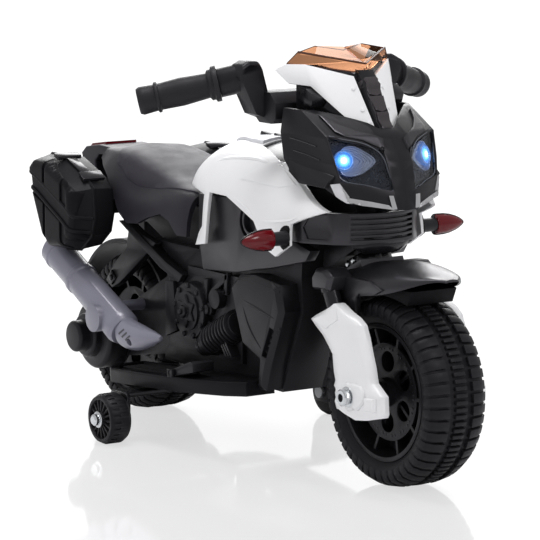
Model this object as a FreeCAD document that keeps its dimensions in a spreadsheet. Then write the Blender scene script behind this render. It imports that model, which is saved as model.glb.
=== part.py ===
import FreeCAD, Part
import Sketcher
import math
import os

doc = FreeCAD.newDocument("kids_motorbike")
sheet = doc.addObject("Spreadsheet::Sheet", "Sizes")
V = FreeCAD.Vector

# Driving dimensions, millimetres and degrees
DRIVING = {
    "wheelbase": 556, "wheel_shift": 7, "front_wheel_radius": 110, "rear_wheel_radius": 102,
    "running_gap": 0.06, "seat_gap": 0.3, "side_gap": 0.5, "axial_gap": 0.2,
    "tyre_width": 80, "tyre_bead_radius": 79, "tyre_shoulder": 9, "tread_depth": 4, "tread_blocks": 36,
    "tread_notch": 4, "rim_wall": 5, "rim_inset": 6, "rim_web": 14, "rim_ribs": 10, "rib_thickness": 4,
    "hub_radius": 17, "hub_step": 4, "hub_half_length": 47, "axle_radius": 5, "axle_head_radius": 12,
    "nut_radius": 9, "nut_height": 6,
    "disc_radius": 56, "disc_offset": 20, "disc_thickness": 4,
    "disc_holes": 6, "disc_hole_radius": 12, "disc_hole_circle": 35,
    "rake": 27, "axis_lead": 11, "crown_rise": 44, "crown_thickness": 11, "crown_half_width": 76,
    "column_radius": 11, "column_wall": 3, "column_plug": 20,
    "bush_wall": 3, "bush_length": 20, "bush_flange": 4.8, "bush_flange_reach": 7,
    "neck_length": 70, "neck_half_width": 26,
    "fork_spread": 63, "fork_tube_radius": 10, "lug_radius": 15, "lug_overhang": 6,
    "cover_inner": 60, "cover_outer": 77, "cover_boss_height": 2, "fender_wall": 3,
    "bar_z": 156, "bar_back": 92, "bar_half_span": 80, "neck_back": 20, "arm_depth": 32, "arm_height": 36,
    "bar_hub_radius": 19, "bar_hub_length": 34, "housing_radius": 17, "housing_length": 30,
    "grip_reach": 201, "grip_core_radius": 10, "grip_radius": 15, "grip_flange_radius": 21,
    "lamp_depth": 17, "lens_thickness": 4, "cheek_thickness": 7, "screen_wall": 3, "trim_radius": 2.6,
    "shell_half_width": 56, "tail_half_width": 42, "shell_wall": 4, "ground_clearance": 86,
    "plate_thickness": 9, "arch_gap": 10, "tank_wall": 4, "lid_thickness": 3.2, "seat_wall": 5,
    "rail_width": 68, "tail_light_width": 46, "guard_width": 84, "guard_wall": 4,
    "side_panel_out": 70, "duct_radius": 21, "duct_depth": 9, "duct_ring_radius": 17, "duct_ring_wall": 4,
    "engine_plate": 6, "clutch_radius": 36, "clutch_height": 13, "shroud_depth": 28, "louvre_depth": 6,
    "grille_ribs": 5, "grille_slot": 3.2, "grille_depth": 5, "foot_x": -40,
    "mat_ribs": 8, "mat_depth": 3, "mat_rib_width": 2, "mat_rib_span": 35,
    "foot_reach": 126, "foot_rear": 162, "foot_thickness": 17, "foot_top": 88, "foot_pitch": 4.5,
    "gear_module": 1.1, "pinion_teeth": 9, "wheel_teeth": 27, "gear_width": 5, "stage_pitch": 6.2,
    "case_radius": 44, "case_wall": 3, "motor_radius": 14, "motor_length": 26,
    "training_radius": 31, "training_width": 30, "training_reach": 151, "training_x": 97,
    "training_bolt_radius": 4, "training_arm_top": 62, "training_plate": 5,
    "pannier_inner": 82, "pannier_seam": 115, "pannier_outer": 145,
    "muffler_radius": 20, "muffler_length": 200, "muffler_out": 112, "muffler_slope": 25.5,
    "knob_radius": 17, "knob_length": 31, "bracket_radius": 7, "tip_hole_radius": 4.5,
    "indicator_out": 115, "indicator_length": 42, "indicator_radius": 11,
    "battery_length": 90, "battery_width": 70, "battery_height": 62,
    "pedal_length": 46, "pedal_width": 30, "pedal_travel": 8,
    "pedal_pin_radius": 2.5, "switch_length": 22, "switch_width": 14,
    "spokes": 16, "training_notches": 24,
}
for row, (name, value) in enumerate(DRIVING.items(), start=1):
    sheet.set("A%d" % row, name)
    sheet.set("B%d" % row, str(value))
    sheet.setAlias("B%d" % row, name)
doc.recompute()


class Size:
    """A length or angle that keeps its sheet expression beside its value."""

    def __init__(self, text, value):
        self.text = text
        self.value = float(value)

    def __float__(self):
        return self.value

    def _join(self, other, sign, swap=False):
        first, second = (as_size(other), self) if swap else (self, as_size(other))
        left, right = first.value, second.value
        value = {"+": left + right, "-": left - right, "*": left * right}.get(sign)
        if sign == "/":
            value = left / right
        return Size("(%s %s %s)" % (first.text, sign, second.text), value)

    def __add__(self, other):
        return self._join(other, "+")

    def __radd__(self, other):
        return self._join(other, "+", True)

    def __sub__(self, other):
        return self._join(other, "-")

    def __rsub__(self, other):
        return self._join(other, "-", True)

    def __mul__(self, other):
        return self._join(other, "*")

    def __rmul__(self, other):
        return self._join(other, "*", True)

    def __truediv__(self, other):
        return self._join(other, "/")

    def __neg__(self):
        return Size("(-%s)" % self.text, -self.value)


def as_size(value):
    return value if isinstance(value, Size) else Size(repr(float(value)), value)


def tangent(angle):
    return Size("tan(%s)" % angle.text, math.tan(math.radians(angle.value)))


def sine(angle):
    return Size("sin(%s)" % angle.text, math.sin(math.radians(angle.value)))


def cosine(angle):
    return Size("cos(%s)" % angle.text, math.cos(math.radians(angle.value)))


class Named:
    pass


d = Named()
for name, value in DRIVING.items():
    setattr(d, name, Size("Sizes." + name, value))


# Anchors that the pieces share
front_x = d.wheelbase / 2 + d.wheel_shift
rear_x = front_x - d.wheelbase
front_r = d.front_wheel_radius
rear_r = d.rear_wheel_radius
head_z = 2 * front_r + d.crown_rise
head_x = front_x + d.axis_lead - (head_z - front_r) * tangent(d.rake)
axle_along = (front_r - head_z) * cosine(d.rake) - (front_x - head_x) * sine(d.rake)
axle_ahead = (front_x - head_x) * cosine(d.rake) + (front_r - head_z) * sine(d.rake)
nodes = []


# Building helpers
def new_body(label):
    body = doc.addObject("PartDesign::Body", label + "_body")
    body.Label = label
    return body


def keep(obj, label):
    obj.Label = label
    nodes.append(obj)
    return obj


def origin(body, role):
    return next(item for item in body.Origin.OriginFeatures if item.Role == role)


def sketch_on(body, role, name, level=None):
    sketch = body.newObject("Sketcher::SketchObject", name)
    sketch.AttachmentSupport = [(origin(body, role), "")]
    sketch.MapMode = "FlatFace"
    if level is not None:
        sketch.setExpression("AttachmentOffset.Base.z", as_size(level).text)
    return sketch


def draw(sketch, points):
    start = sketch.GeometryCount
    corners = [V(float(x), float(y), 0) for x, y in points]
    count = len(corners)
    for index in range(count):
        sketch.addGeometry(Part.LineSegment(corners[index], corners[(index + 1) % count]), False)
    for index in range(count):
        after = start + (index + 1) % count
        sketch.addConstraint(Sketcher.Constraint("Coincident", start + index, 2, after, 1))
    for index, pair in enumerate(points):
        for kind, value in zip(("DistanceX", "DistanceY"), pair):
            rule = Sketcher.Constraint(kind, -1, 1, start + index, 1, float(value))
            number = sketch.addConstraint(rule)
            if isinstance(value, Size):
                sketch.setExpression("Constraints[%d]" % number, value.text)
    return sketch


def ring_on(sketch, x, y, radius):
    item = sketch.addGeometry(Part.Circle(V(float(x), float(y), 0), V(0, 0, 1), float(radius)), False)
    rules = (
        (Sketcher.Constraint("DistanceX", -1, 1, item, 3, float(x)), x),
        (Sketcher.Constraint("DistanceY", -1, 1, item, 3, float(y)), y),
        (Sketcher.Constraint("Radius", item, float(radius)), radius),
    )
    for rule, value in rules:
        number = sketch.addConstraint(rule)
        if isinstance(value, Size):
            sketch.setExpression("Constraints[%d]" % number, value.text)
    return sketch


def add_pad(body, sketch, length, both=False, back=False, taper=0):
    feature = body.newObject("PartDesign::Pad", sketch.Name + "_pad")
    feature.Profile = sketch
    feature.setExpression("Length", as_size(length).text)
    feature.Midplane = both
    feature.Reversed = back
    if taper:
        feature.TaperAngle = taper
    sketch.Visibility = False
    return feature


def add_cut(body, sketch, length, both=False, back=False):
    feature = body.newObject("PartDesign::Pocket", sketch.Name + "_cut")
    feature.Profile = sketch
    feature.setExpression("Length", as_size(length).text)
    feature.Midplane = both
    feature.Reversed = back
    return feature


def spin(body, sketch, axis="V_Axis"):
    feature = body.newObject("PartDesign::Revolution", sketch.Name + "_turn")
    feature.Profile = sketch
    feature.ReferenceAxis = (sketch, [axis])
    feature.Angle = 360
    return feature


def repeat_round(body, feature, role, count):
    pattern = body.newObject("PartDesign::PolarPattern", feature.Name + "_round")
    pattern.Originals = [feature]
    pattern.Axis = (origin(body, role), [""])
    pattern.Angle = 360
    pattern.setExpression("Occurrences", as_size(count).text)
    body.Tip = pattern
    return pattern


def repeat_along(body, feature, role, length, count):
    pattern = body.newObject("PartDesign::LinearPattern", feature.Name + "_row")
    pattern.Originals = [feature]
    pattern.Direction = (origin(body, role), [""])
    pattern.setExpression("Length", as_size(length).text)
    pattern.Occurrences = count
    body.Tip = pattern
    return pattern


def soften(body, base, radius, wanted, kind="Fillet"):
    doc.recompute()
    names = []
    for index, edge in enumerate(base.Shape.Edges, start=1):
        if wanted(edge):
            names.append("Edge%d" % index)
    feature = body.newObject("PartDesign::" + kind, base.Name + "_" + kind.lower())
    feature.Base = (base, names)
    if kind == "Fillet":
        feature.Radius = radius
    else:
        feature.Size = radius
    return feature


def at(obj, x=0, y=0, z=0):
    for letter, value in (("x", x), ("y", y), ("z", z)):
        obj.setExpression("Placement.Base." + letter, as_size(value).text)
    return obj


def turned(obj, axis, angle):
    obj.Placement = FreeCAD.Placement(obj.Placement.Base, FreeCAD.Rotation(V(*axis), float(angle)))
    if isinstance(angle, Size):
        obj.setExpression("Placement.Rotation.Angle", angle.text)
    return obj


def on_steering(obj):
    turned(obj, (0, -1, 0), d.rake)
    return at(obj, head_x, 0, head_z)


def rod(name, radius, length):
    item = doc.addObject("Part::Cylinder", name)
    item.setExpression("Radius", as_size(radius).text)
    item.setExpression("Height", as_size(length).text)
    return item


def joined(name, pieces):
    item = doc.addObject("Part::MultiFuse", name)
    item.Shapes = pieces
    return item


def minus(name, base, tool):
    item = doc.addObject("Part::Cut", name)
    item.Base = base
    item.Tool = tool
    return item


def twin(name, source):
    item = doc.addObject("Part::Mirroring", name)
    item.Source = source
    item.Normal = V(0, 1, 0)
    return item


def pair(label, source):
    item = doc.addObject("Part::Compound", label + "_pair")
    item.Links = [source, twin(source.Name + "_twin", source)]
    return keep(item, label)


def form(name, shape):
    item = doc.addObject("Part::Feature", name)
    item.Shape = shape
    return item


def prism(points, start, end):
    corners = [V(float(x), float(start), float(z)) for x, z in points]
    face = Part.Face(Part.makePolygon(corners + corners[:1]))
    return face.extrude(V(0, float(end) - float(start), 0))


def standing(x0, x1, y, z0, z1):
    return Part.makeBox(x1 - x0, 2 * y, z1 - z0, V(x0, -y, z0))


def upright(points, z0, z1):
    corners = [V(float(x), float(y), float(z0)) for x, y in points]
    face = Part.Face(Part.makePolygon(corners + corners[:1]))
    return face.extrude(V(0, 0, float(z1) - float(z0)))


def mirrored(points):
    return points + [(x, -y) for x, y in reversed(points) if y]


def steer_point(ahead, side, along):
    angle = math.radians(d.rake.value)
    x = head_x.value + float(ahead) * math.cos(angle) - float(along) * math.sin(angle)
    z = head_z.value + float(ahead) * math.sin(angle) + float(along) * math.cos(angle)
    return V(x, float(side), z)


def steer_up():
    angle = math.radians(d.rake.value)
    return V(-math.sin(angle), 0, math.cos(angle))


def both_sides(shape):
    return [shape, shape.mirror(V(0, 0, 0), V(0, 1, 0))]


def loft(wires, ruled=False):
    return Part.makeLoft(wires, True, ruled)


# Tyres with block shoulders and a grooved crown
def tyre(label, radius):
    body = new_body(label)
    half = d.tyre_width / 2
    low = radius - d.tread_depth
    side = [
        (d.tyre_bead_radius, half - d.rim_inset), (d.tyre_bead_radius + 9, half - 1), (radius - 16, half),
        (radius - d.tyre_shoulder, half - 3), (radius - 3, half - 12), (radius - 1, half - 25),
        (low, half - 25.5), (low, half - 28.5), (radius, half - 29),
    ]
    outline = [(r, -y) for r, y in side] + [(r, y) for r, y in reversed(side)]
    spin(body, draw(sketch_on(body, "XY_Plane", label + "_profile"), outline))
    notch = sketch_on(body, "XY_Plane", label + "_notch")
    for sign in (-1, 1):
        draw(notch, [
            (low - 1, sign * (half - 24)), (low - d.tyre_shoulder, sign * (half + 2)),
            (radius + 3, sign * (half + 2)), (radius + 3, sign * (half - 24)),
        ])
    cut = add_cut(body, notch, d.tread_notch, both=True)
    repeat_round(body, cut, "Y_Axis", d.tread_blocks)
    return body


front_tyre = tyre("front_tyre", front_r)
keep(at(front_tyre, front_x, 0, front_r), "front_tyre")
rear_tyre = tyre("rear_tyre", rear_r)
keep(at(rear_tyre, rear_x, 0, rear_r), "rear_tyre")


# Moulded wheels with a brake disc plate on each side
def rim(label, hub_right, hub_left, axle):
    body = new_body(label)
    half = d.tyre_width / 2 - d.rim_inset
    outer = d.tyre_bead_radius - d.running_gap
    inner = outer - d.rim_wall
    bore = axle + d.running_gap
    hub = d.hub_radius
    neck = hub - d.hub_step
    web = d.rim_web / 2
    outline = [
        (bore, -hub_right), (neck, -hub_right), (neck, -half), (hub, -half), (hub, -web),
        (inner - 3, -web), (inner, -half), (outer, -half), (outer, half), (inner, half), (inner - 3, web),
        (hub, web), (hub, half), (neck, half), (neck, hub_left), (bore, hub_left),
    ]
    spin(body, draw(sketch_on(body, "XY_Plane", label + "_profile"), outline))
    rib = sketch_on(body, "XY_Plane", label + "_rib")
    root = web - 1
    for sign in (-1, 1):
        draw(rib, [
            (hub - 1, sign * root), (hub - 1, sign * d.disc_offset), (inner + 1, sign * (d.disc_offset + 6)),
            (inner + 1, sign * root),
        ])
    repeat_round(body, add_pad(body, rib, d.rib_thickness, both=True), "Y_Axis", d.rim_ribs)
    plate_top = d.disc_offset + d.disc_thickness
    for side, sign in (("near", 1), ("far", -1)):
        level = d.disc_offset if sign > 0 else -plate_top
        plate = sketch_on(body, "XZ_Plane", label + "_disc_" + side, level)
        ring_on(plate, 0, 0, d.disc_radius)
        ring_on(plate, 0, 0, hub - 1)
        add_pad(body, plate, d.disc_thickness)
        hole = sketch_on(body, "XZ_Plane", label + "_hole_" + side, sign * (plate_top + 0.5))
        ring_on(hole, 0, d.disc_hole_circle, d.disc_hole_radius)
        cut = add_cut(body, hole, d.disc_thickness + 1, back=sign < 0)
        repeat_round(body, cut, "Y_Axis", d.disc_holes)
    return body


front_rim = rim("front_rim", d.hub_half_length, d.hub_half_length, d.axle_radius)
keep(at(front_rim, front_x, 0, front_r), "front_rim")

# Steering stem: crown plate and hollow column, with two flanged bushes
stem = new_body("steering_stem")
crown_low = -(d.crown_thickness + d.bush_flange + d.axial_gap)
crown = sketch_on(stem, "XY_Plane", "crown", crown_low)
wide = d.crown_half_width
crown_half = [(-26, -wide), (8, -wide), (16, -wide + 30), (18, -20)]
draw(crown, crown_half + [(x, -y) for x, y in reversed(crown_half)])
add_pad(stem, crown, d.crown_thickness)
column_length = d.bar_z / cosine(d.rake) + 8 - crown_low
column = ring_on(sketch_on(stem, "XY_Plane", "column", crown_low), 0, 0, d.column_radius)
add_pad(stem, column, column_length)
hollow = ring_on(sketch_on(stem, "XY_Plane", "hollow", crown_low), 0, 0, d.column_radius - d.column_wall)
add_cut(stem, hollow, column_length - d.column_plug, back=True)
keep(on_steering(stem), "steering_stem")

bush = new_body("bush")
bush_in = d.column_radius + d.running_gap
bush_out = bush_in + d.bush_wall
bush_rim = bush_out + d.bush_flange_reach
bush_profile = [
    (bush_in, -d.bush_flange), (bush_rim, -d.bush_flange), (bush_rim, 0), (bush_out, 0),
    (bush_out, d.bush_length), (bush_in, d.bush_length),
]
spin(bush, draw(sketch_on(bush, "XZ_Plane", "bush_profile"), bush_profile))
on_steering(bush)
upper_bush = new_body("upper_bush")
upper_profile = [(r, d.neck_length - z) for r, z in bush_profile]
spin(upper_bush, draw(sketch_on(upper_bush, "XZ_Plane", "upper_profile"), upper_profile))
on_steering(upper_bush)
bushes = doc.addObject("Part::Compound", "bushes")
bushes.Links = [bush, upper_bush]
keep(bushes, "steering_bushes")

# Fork legs: round tube with an axle lug
leg_top = crown_low
tube = at(rod("leg_tube", d.fork_tube_radius, leg_top - axle_along), axle_ahead, -d.fork_spread, axle_along)
lug_inner = d.hub_half_length + d.side_gap
lug_length = d.fork_spread + d.lug_overhang - lug_inner
lug = turned(rod("leg_lug", d.lug_radius, lug_length), (1, 0, 0), 90)
at(lug, axle_ahead, -lug_inner, axle_along)
lug_hole = turned(rod("leg_hole", d.axle_radius + d.running_gap, 60), (1, 0, 0), 90)
at(lug_hole, axle_ahead, -30, axle_along)
leg = on_steering(minus("fork_leg", joined("leg_solid", [tube, lug]), lug_hole))
pair("fork_legs", leg)

# White fork covers that clasp the legs
cover = new_body("fork_cover")
cover_outline = [
    (-24, 104), (-96, 75), (-41, 45), (-41, -23), (-21, -20), (17, -24), (63, -16), (66, 12), (47, 22),
    (35, 70), (20, 88),
]
cover_sketch = sketch_on(cover, "XZ_Plane", "cover_outline", d.cover_inner)
draw(cover_sketch, [(front_x + x, front_r + z) for x, z in cover_outline])
cover_pad = add_pad(cover, cover_sketch, d.cover_outer - d.cover_inner)
face_y = -d.cover_outer.value
soften(cover, cover_pad, 5, lambda e: all(abs(v.Y - face_y) < 0.01 for v in e.Vertexes))
boss = ring_on(sketch_on(cover, "XZ_Plane", "cover_boss", d.cover_outer - 2), front_x, front_r, d.lug_radius)
add_pad(cover, boss, d.cover_boss_height + 2)
cover_hole = ring_on(sketch_on(cover, "XZ_Plane", "cover_hole", d.cover_outer + 4), front_x, front_r,
                     d.axle_radius + d.running_gap)
add_cut(cover, cover_hole, 40)
groove_tube = at(rod("groove_tube", d.fork_tube_radius + d.seat_gap, leg_top - axle_along),
                 axle_ahead, -d.fork_spread, axle_along)
groove_lug = turned(rod("groove_lug", d.lug_radius + d.seat_gap, lug_length + d.seat_gap), (1, 0, 0), 90)
at(groove_lug, axle_ahead, -lug_inner, axle_along)
groove = on_steering(joined("cover_groove", [groove_tube, groove_lug]))
pair("fork_covers", minus("cover_shell", cover, groove))

# Front axle bolt with flanged heads
axle = new_body("front_axle")
head_at = d.cover_outer + d.cover_boss_height
wide = d.axle_head_radius
axle_profile = [
    (0, -head_at - 2), (wide, -head_at - 2), (wide, -head_at), (d.axle_radius, -head_at),
    (d.axle_radius, head_at), (wide, head_at), (wide, head_at + 2), (0, head_at + 2),
]
spin(axle, draw(sketch_on(axle, "XY_Plane", "axle_profile"), axle_profile))
six = [math.radians(60 * corner) for corner in range(6)]
nut_points = [(d.nut_radius * math.cos(angle), d.nut_radius * math.sin(angle)) for angle in six]
nut_near = draw(sketch_on(axle, "XZ_Plane", "nut_near", head_at + 1.5), nut_points)
add_pad(axle, nut_near, d.nut_height)
nut_far = draw(sketch_on(axle, "XZ_Plane", "nut_far", -head_at - 1.5), nut_points)
add_pad(axle, nut_far, d.nut_height, back=True)
keep(at(axle, front_x, 0, front_r), "front_axle")


# Front fender: a thin arch that runs out to a pointed lip
def arch(x, half, side_z, top_z, wall):
    def curve(inset):
        wide = half - inset
        top = top_z - inset
        points = [
            V(x, -wide, side_z), V(x, -wide * 0.93, side_z + 0.55 * (top - side_z)),
            V(x, -wide * 0.55, side_z + 0.9 * (top - side_z)), V(x, 0, top),
            V(x, wide * 0.55, side_z + 0.9 * (top - side_z)),
            V(x, wide * 0.93, side_z + 0.55 * (top - side_z)), V(x, wide, side_z),
        ]
        line = Part.BSplineCurve()
        line.interpolate(points)
        return line.toShape(), points[0], points[-1]

    outer, first, last = curve(0)
    inner, inner_first, inner_last = curve(wall)
    edges = [outer, Part.makeLine(last, inner_last), inner, Part.makeLine(inner_first, first)]
    return Part.Wire(Part.__sortEdges__(edges))


fender_stations = (
    (-84, 48, 99, 133), (-50, 50, 103, 142), (-18, 51, 110, 147), (18, 50, 116, 148), (55, 37, 127, 142.5),
    (88, 9, 135, 138.5),
)
wall = d.fender_wall.value
fender_wires = [
    arch(front_x.value + x, half, front_r.value + side, front_r.value + top, wall)
    for x, half, side, top in fender_stations
]
fender_shape = loft(fender_wires)
seat_block = Part.makeBox(30, 60, 30, V(-15, -30, crown_low.value - 30))
seat_block.Placement = FreeCAD.Placement(steer_point(0, 0, 0), FreeCAD.Rotation(V(0, -1, 0), d.rake.value))
under = Part.makeCylinder(float(front_r) + 14, 200, V(front_x.value, -100, front_r.value), V(0, 1, 0))
fender_shape = fender_shape.fuse(seat_block.cut(under)).removeSplitter()
above = Part.makeBox(200, 200, 80, V(-100, -100, crown_low.value))
above.Placement = seat_block.Placement
keep(form("fender_form", fender_shape.cut(above)), "front_fender")


# Handlebar: a box section arm, two raised necks, switch housings and the grip cores
bar_x = head_x - d.bar_back
bar_mid = head_z + d.bar_z + 4
half_deep = d.arm_depth / 2
half_high = d.arm_height / 2
bar = new_body("bar_arm")
arm_half = [(half_deep, -half_high + 6), (half_deep, half_high - 12), (half_deep - 12, half_high)]
arm_back = half_deep + d.neck_back / 2
arm_outline = arm_half + [(-arm_back, half_high), (-arm_back, -half_high + 6), (-arm_back + 8, -half_high)]
arm_outline = arm_outline + [(half_deep - 8, -half_high)]
arm_sketch = draw(sketch_on(bar, "XZ_Plane", "arm"), [(bar_x + x, bar_mid + z) for x, z in arm_outline])
add_pad(bar, arm_sketch, 2 * d.bar_half_span + 4, both=True)
neck_outline = [
    (-4, -half_high + 4), (12, -half_high + 10), (34, 36), (30, 50), (22, 54), (10, 54), (4, 44), (-4, 16),
]
for side, sign in (("right", -1), ("left", 1)):
    neck_sketch = sketch_on(bar, "YZ_Plane", "neck_" + side, bar_x - half_deep + 2 - d.neck_back)
    draw(neck_sketch, [(sign * (d.bar_half_span + y), bar_mid + z) for y, z in neck_outline])
    neck_pad = add_pad(bar, neck_sketch, d.arm_depth - 6)
top_z = bar_mid.value + 54
soften(bar, neck_pad, 5, lambda e: all(v.Z > top_z - 5 for v in e.Vertexes) and e.Length > 8)
hub_low = d.bar_z / cosine(d.rake) - 20
hub_core = at(rod("bar_hub", d.bar_hub_radius, d.bar_hub_length), 0, 0, hub_low)
hub_set = doc.addObject("Part::Compound", "bar_hub_set")
hub_set.Links = [hub_core]
on_steering(hub_set)
grip_end = V(bar_x.value - 92, -d.grip_reach.value, bar_mid.value + 6)
grip_root = V(bar_x.value - 7 - d.neck_back.value, -d.bar_half_span.value - 17, bar_mid.value + 34)
grip_line = grip_end - grip_root
grip_turn = FreeCAD.Rotation(V(0, 0, 1), grip_line)
core = rod("grip_core", d.grip_core_radius, grip_line.Length - 8)
core.Placement = FreeCAD.Placement(grip_root, grip_turn)
housing = rod("switch_housing", d.housing_radius, d.housing_length)
housing.Placement = FreeCAD.Placement(grip_root, grip_turn)
right_ends = joined("right_ends", [core, housing])
left_ends = twin("left_ends", right_ends)
column_room = on_steering(rod("column_room", d.column_radius + d.running_gap, column_length + crown_low))
handlebar = minus("bar_cut", joined("bar_all", [bar, hub_set, right_ends, left_ends]), column_room)
keep(handlebar, "handlebar")

grip = new_body("grip")
grip_long = grip_line.Length
bore = d.grip_core_radius + d.running_gap
grip_start = d.housing_length + d.seat_gap
lip = d.grip_flange_radius
ridge = d.grip_radius + 3
grip_profile = [
    (bore, grip_start), (lip, grip_start), (lip, 36), (ridge, 37), (ridge, 41), (d.grip_radius - 0.5, 43),
    (d.grip_radius + 1.5, 74), (d.grip_radius + 0.5, 100), (ridge, 101), (ridge, 104),
    (d.grip_radius + 0.5, 105), (d.grip_radius + 1.5, grip_long - 4), (d.grip_radius - 0.5, grip_long),
    (0, grip_long), (0, grip_long - 6), (bore, grip_long - 6),
]
spin(grip, draw(sketch_on(grip, "XZ_Plane", "grip_profile"), grip_profile))
grip.Placement = FreeCAD.Placement(grip_root, grip_turn)
pair("grips", grip)


# Front cowl: horizontal plan outlines joined into facets, with lamp recesses
def plan(z, points):
    height = head_z.value + z
    near = [V(head_x.value + x, -y, height) for x, y in points]
    far = [V(head_x.value + x, y, height) for x, y in reversed(points) if y]
    corners = near + far
    return Part.makePolygon(corners + corners[:1])


cowl_plans = (
    (40, ((74, 0), (72, 12), (50, 46), (24, 62), (20, 40))),
    (53, ((71.5, 0), (69.5, 13), (46, 58), (12, 82), (8, 50))),
    (81, ((65.5, 0), (63.5, 16), (36.5, 67), (-22, 90), (-30, 60))),
    (106, ((57.5, 0), (55.5, 18), (28, 72), (-50, 88), (-58, 60))),
    (135, ((41, 0), (38, 20), (17.5, 75), (-64, 83), (-73.8, 60))),
    (162, ((6, 0), (2, 20), (-33, 76), (-64, 79), (-73.8, 60))),
)
cowl_shape = loft([plan(z, points) for z, points in cowl_plans], True)
inner_plans = (
    (20, ((48, 0), (46, 10), (34, 30), (20, 52), (-160, 52))),
    (81, ((40, 0), (38, 12), (14, 55), (-26, 80), (-160, 80))),
    (112, ((30, 0), (28, 12), (2, 60), (-50, 78), (-160, 78))),
    (128, ((6, 0), (2, 12), (-30, 50), (-62, 64), (-160, 64))),
)
cavity = loft([plan(z, points) for z, points in inner_plans], True)
cowl_shape = cowl_shape.cut(cavity)
slant = prism([
    (head_x + 120, head_z + 40), (head_x + 71, head_z + 53), (head_x + 40, head_z + 62),
    (head_x + 6, head_z + 82), (head_x - 30, head_z + 94), (head_x - 90, head_z + 98), (head_x - 90, head_z),
    (head_x + 120, head_z),
], -120, 120)
cowl_shape = cowl_shape.cut(slant)
column_hole = Part.makeCylinder(float(d.column_radius + d.seat_gap), 300, steer_point(0, 0, 0), steer_up())
cowl_shape = cowl_shape.cut(column_hole)
arm_room = prism([
    (bar_x - 60, bar_mid - 60), (bar_x + half_deep, bar_mid - 60), (bar_x + half_deep, bar_mid + 60),
    (bar_x - 60, bar_mid + 60),
], -120, 120)
cowl_shape = cowl_shape.cut(arm_room)
hub_room = Part.makeCylinder(float(d.bar_hub_radius + d.seat_gap), 260, steer_point(0, 0, 0), steer_up())
cowl_shape = cowl_shape.cut(hub_room)
valley_floor = head_z + 134
valley_plan = [
    (head_x + 29, 0), (head_x + 29, -11), (head_x - 33, -71), (head_x - 100, -71),
]

# Lamp plane through the recess corners on the right side
lamp_corners = [
    V(head_x.value + x, -y, head_z.value + z)
    for x, y, z in ((65.5, 15, 75), (50.5, 19, 121), (17.5, 74, 135), (35.5, 67, 86))
]
across = lamp_corners[2] - lamp_corners[0]
upward = lamp_corners[1] - lamp_corners[3]
lamp_out = across.cross(upward).normalize()
if lamp_out.x < 0:
    lamp_out = lamp_out * -1
lamp_middle = (lamp_corners[0] + lamp_corners[1] + lamp_corners[2] + lamp_corners[3]) * 0.25


def lamp_slab(shrink, outer, inner):
    corners = []
    for corner in lamp_corners:
        flat = corner - lamp_out * (corner - lamp_middle).dot(lamp_out)
        reach = flat - lamp_middle
        corners.append(lamp_middle + reach * (1 - shrink / reach.Length) + lamp_out * outer)
    face = Part.Face(Part.makePolygon(corners + corners[:1]))
    return face.extrude(lamp_out * (inner - outer))


cowl_shape = cowl_shape.cut(upright(mirrored(valley_plan), valley_floor, valley_floor + 60))
depth = d.lamp_depth.value
for recess in both_sides(lamp_slab(0, 40, -depth)):
    cowl_shape = cowl_shape.cut(recess)
keep(form("cowl_form", cowl_shape), "front_cowl")
lens = d.lens_thickness.value
lens_front = -2.0
lens_solid = lamp_slab(0.6, lens_front, lens_front - lens)
keep(form("lens_form", Part.makeCompound(both_sides(lens_solid))), "headlight_lenses")
bowl_front = lens_front - lens - 0.2
bowl_solid = lamp_slab(0.6, bowl_front, -depth)
bowl_spot = lamp_middle + lamp_out * bowl_front
dish = Part.makeCone(14, 6, 8, bowl_spot + lamp_out * 0.01, lamp_out * -1)
bowl_solid = bowl_solid.cut(dish)
keep(form("bowl_form", Part.makeCompound(both_sides(bowl_solid))), "headlight_bowls")


def facet(corners, plane, thickness):
    base, second, third = (corners[index] for index in plane)
    normal = (second - base).cross(third - base).normalize()
    if normal.x < 0:
        normal = normal * -1
    flat = [corner - normal * (corner - base).dot(normal) for corner in corners]
    face = Part.Face(Part.makePolygon(flat + flat[:1]))
    return face.extrude(normal * -thickness), flat, normal


def from_head(points):
    return [V(head_x.value + x, -y, head_z.value + z) for x, y, z in points]


# White cheeks of two facets each side of a stepped black spine
cheek_thick = d.cheek_thickness.value
cheek_front = from_head(((28.5, 11.4, 135), (-14, 15.7, 199), (-50.5, 58.3, 212), (4.5, 34, 150)))
front_plate, front_flat, front_out = facet(cheek_front, (0, 1, 2), cheek_thick)
cheek_rear = from_head(((-40.5, 58, 188), (-63.5, 73, 190), (-81.5, 78, 204), (-70, 71.6, 211.5)))
cheek_rear = [front_flat[2], front_flat[3]] + cheek_rear
rear_plate, rear_flat, rear_out = facet(cheek_rear, (0, 1, 3), cheek_thick)
cheek = front_plate.fuse(rear_plate).removeSplitter().cut(cowl_shape)
cheek = max(cheek.Solids, key=lambda item: item.Volume)
keep(form("cheek_form", Part.makeCompound(both_sides(cheek))), "screen_cheeks")
nose_block = prism([
    (head_x + 28, valley_floor + 0.05), (head_x - 14, head_z + 199), (head_x - 50, head_z + 211),
    (head_x - 66, head_z + 211), (head_x - 66, valley_floor + 0.05),
], -60, 60)
for spot, out in ((front_flat[0], front_out), (rear_flat[0], rear_out)):
    room = Part.makeBox(400, 400, 100, V(-200, -200, 0))
    room.Placement = FreeCAD.Placement(spot - out * (cheek_thick + 0.05), FreeCAD.Rotation(V(0, 0, 1), out))
    for half_space in both_sides(room):
        nose_block = nose_block.cut(half_space)
spine_side = [
    (34, 133.5), (30, 142), (22, 150), (20, 158), (2, 184), (2, 189), (-12, 206), (-20, 206), (-20, 190),
    (20, 136),
]
spine = prism([(head_x + x, head_z + z) for x, z in spine_side], -9.6, 9.6)
side_bar = [(-56, 175), (-40, 185), (-26, 175), (-30, 164)]
bar_block = prism([(head_x + x, head_z + z) for x, z in side_bar], -64, 64)
nose_block = nose_block.fuse(spine).fuse(bar_block)
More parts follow.
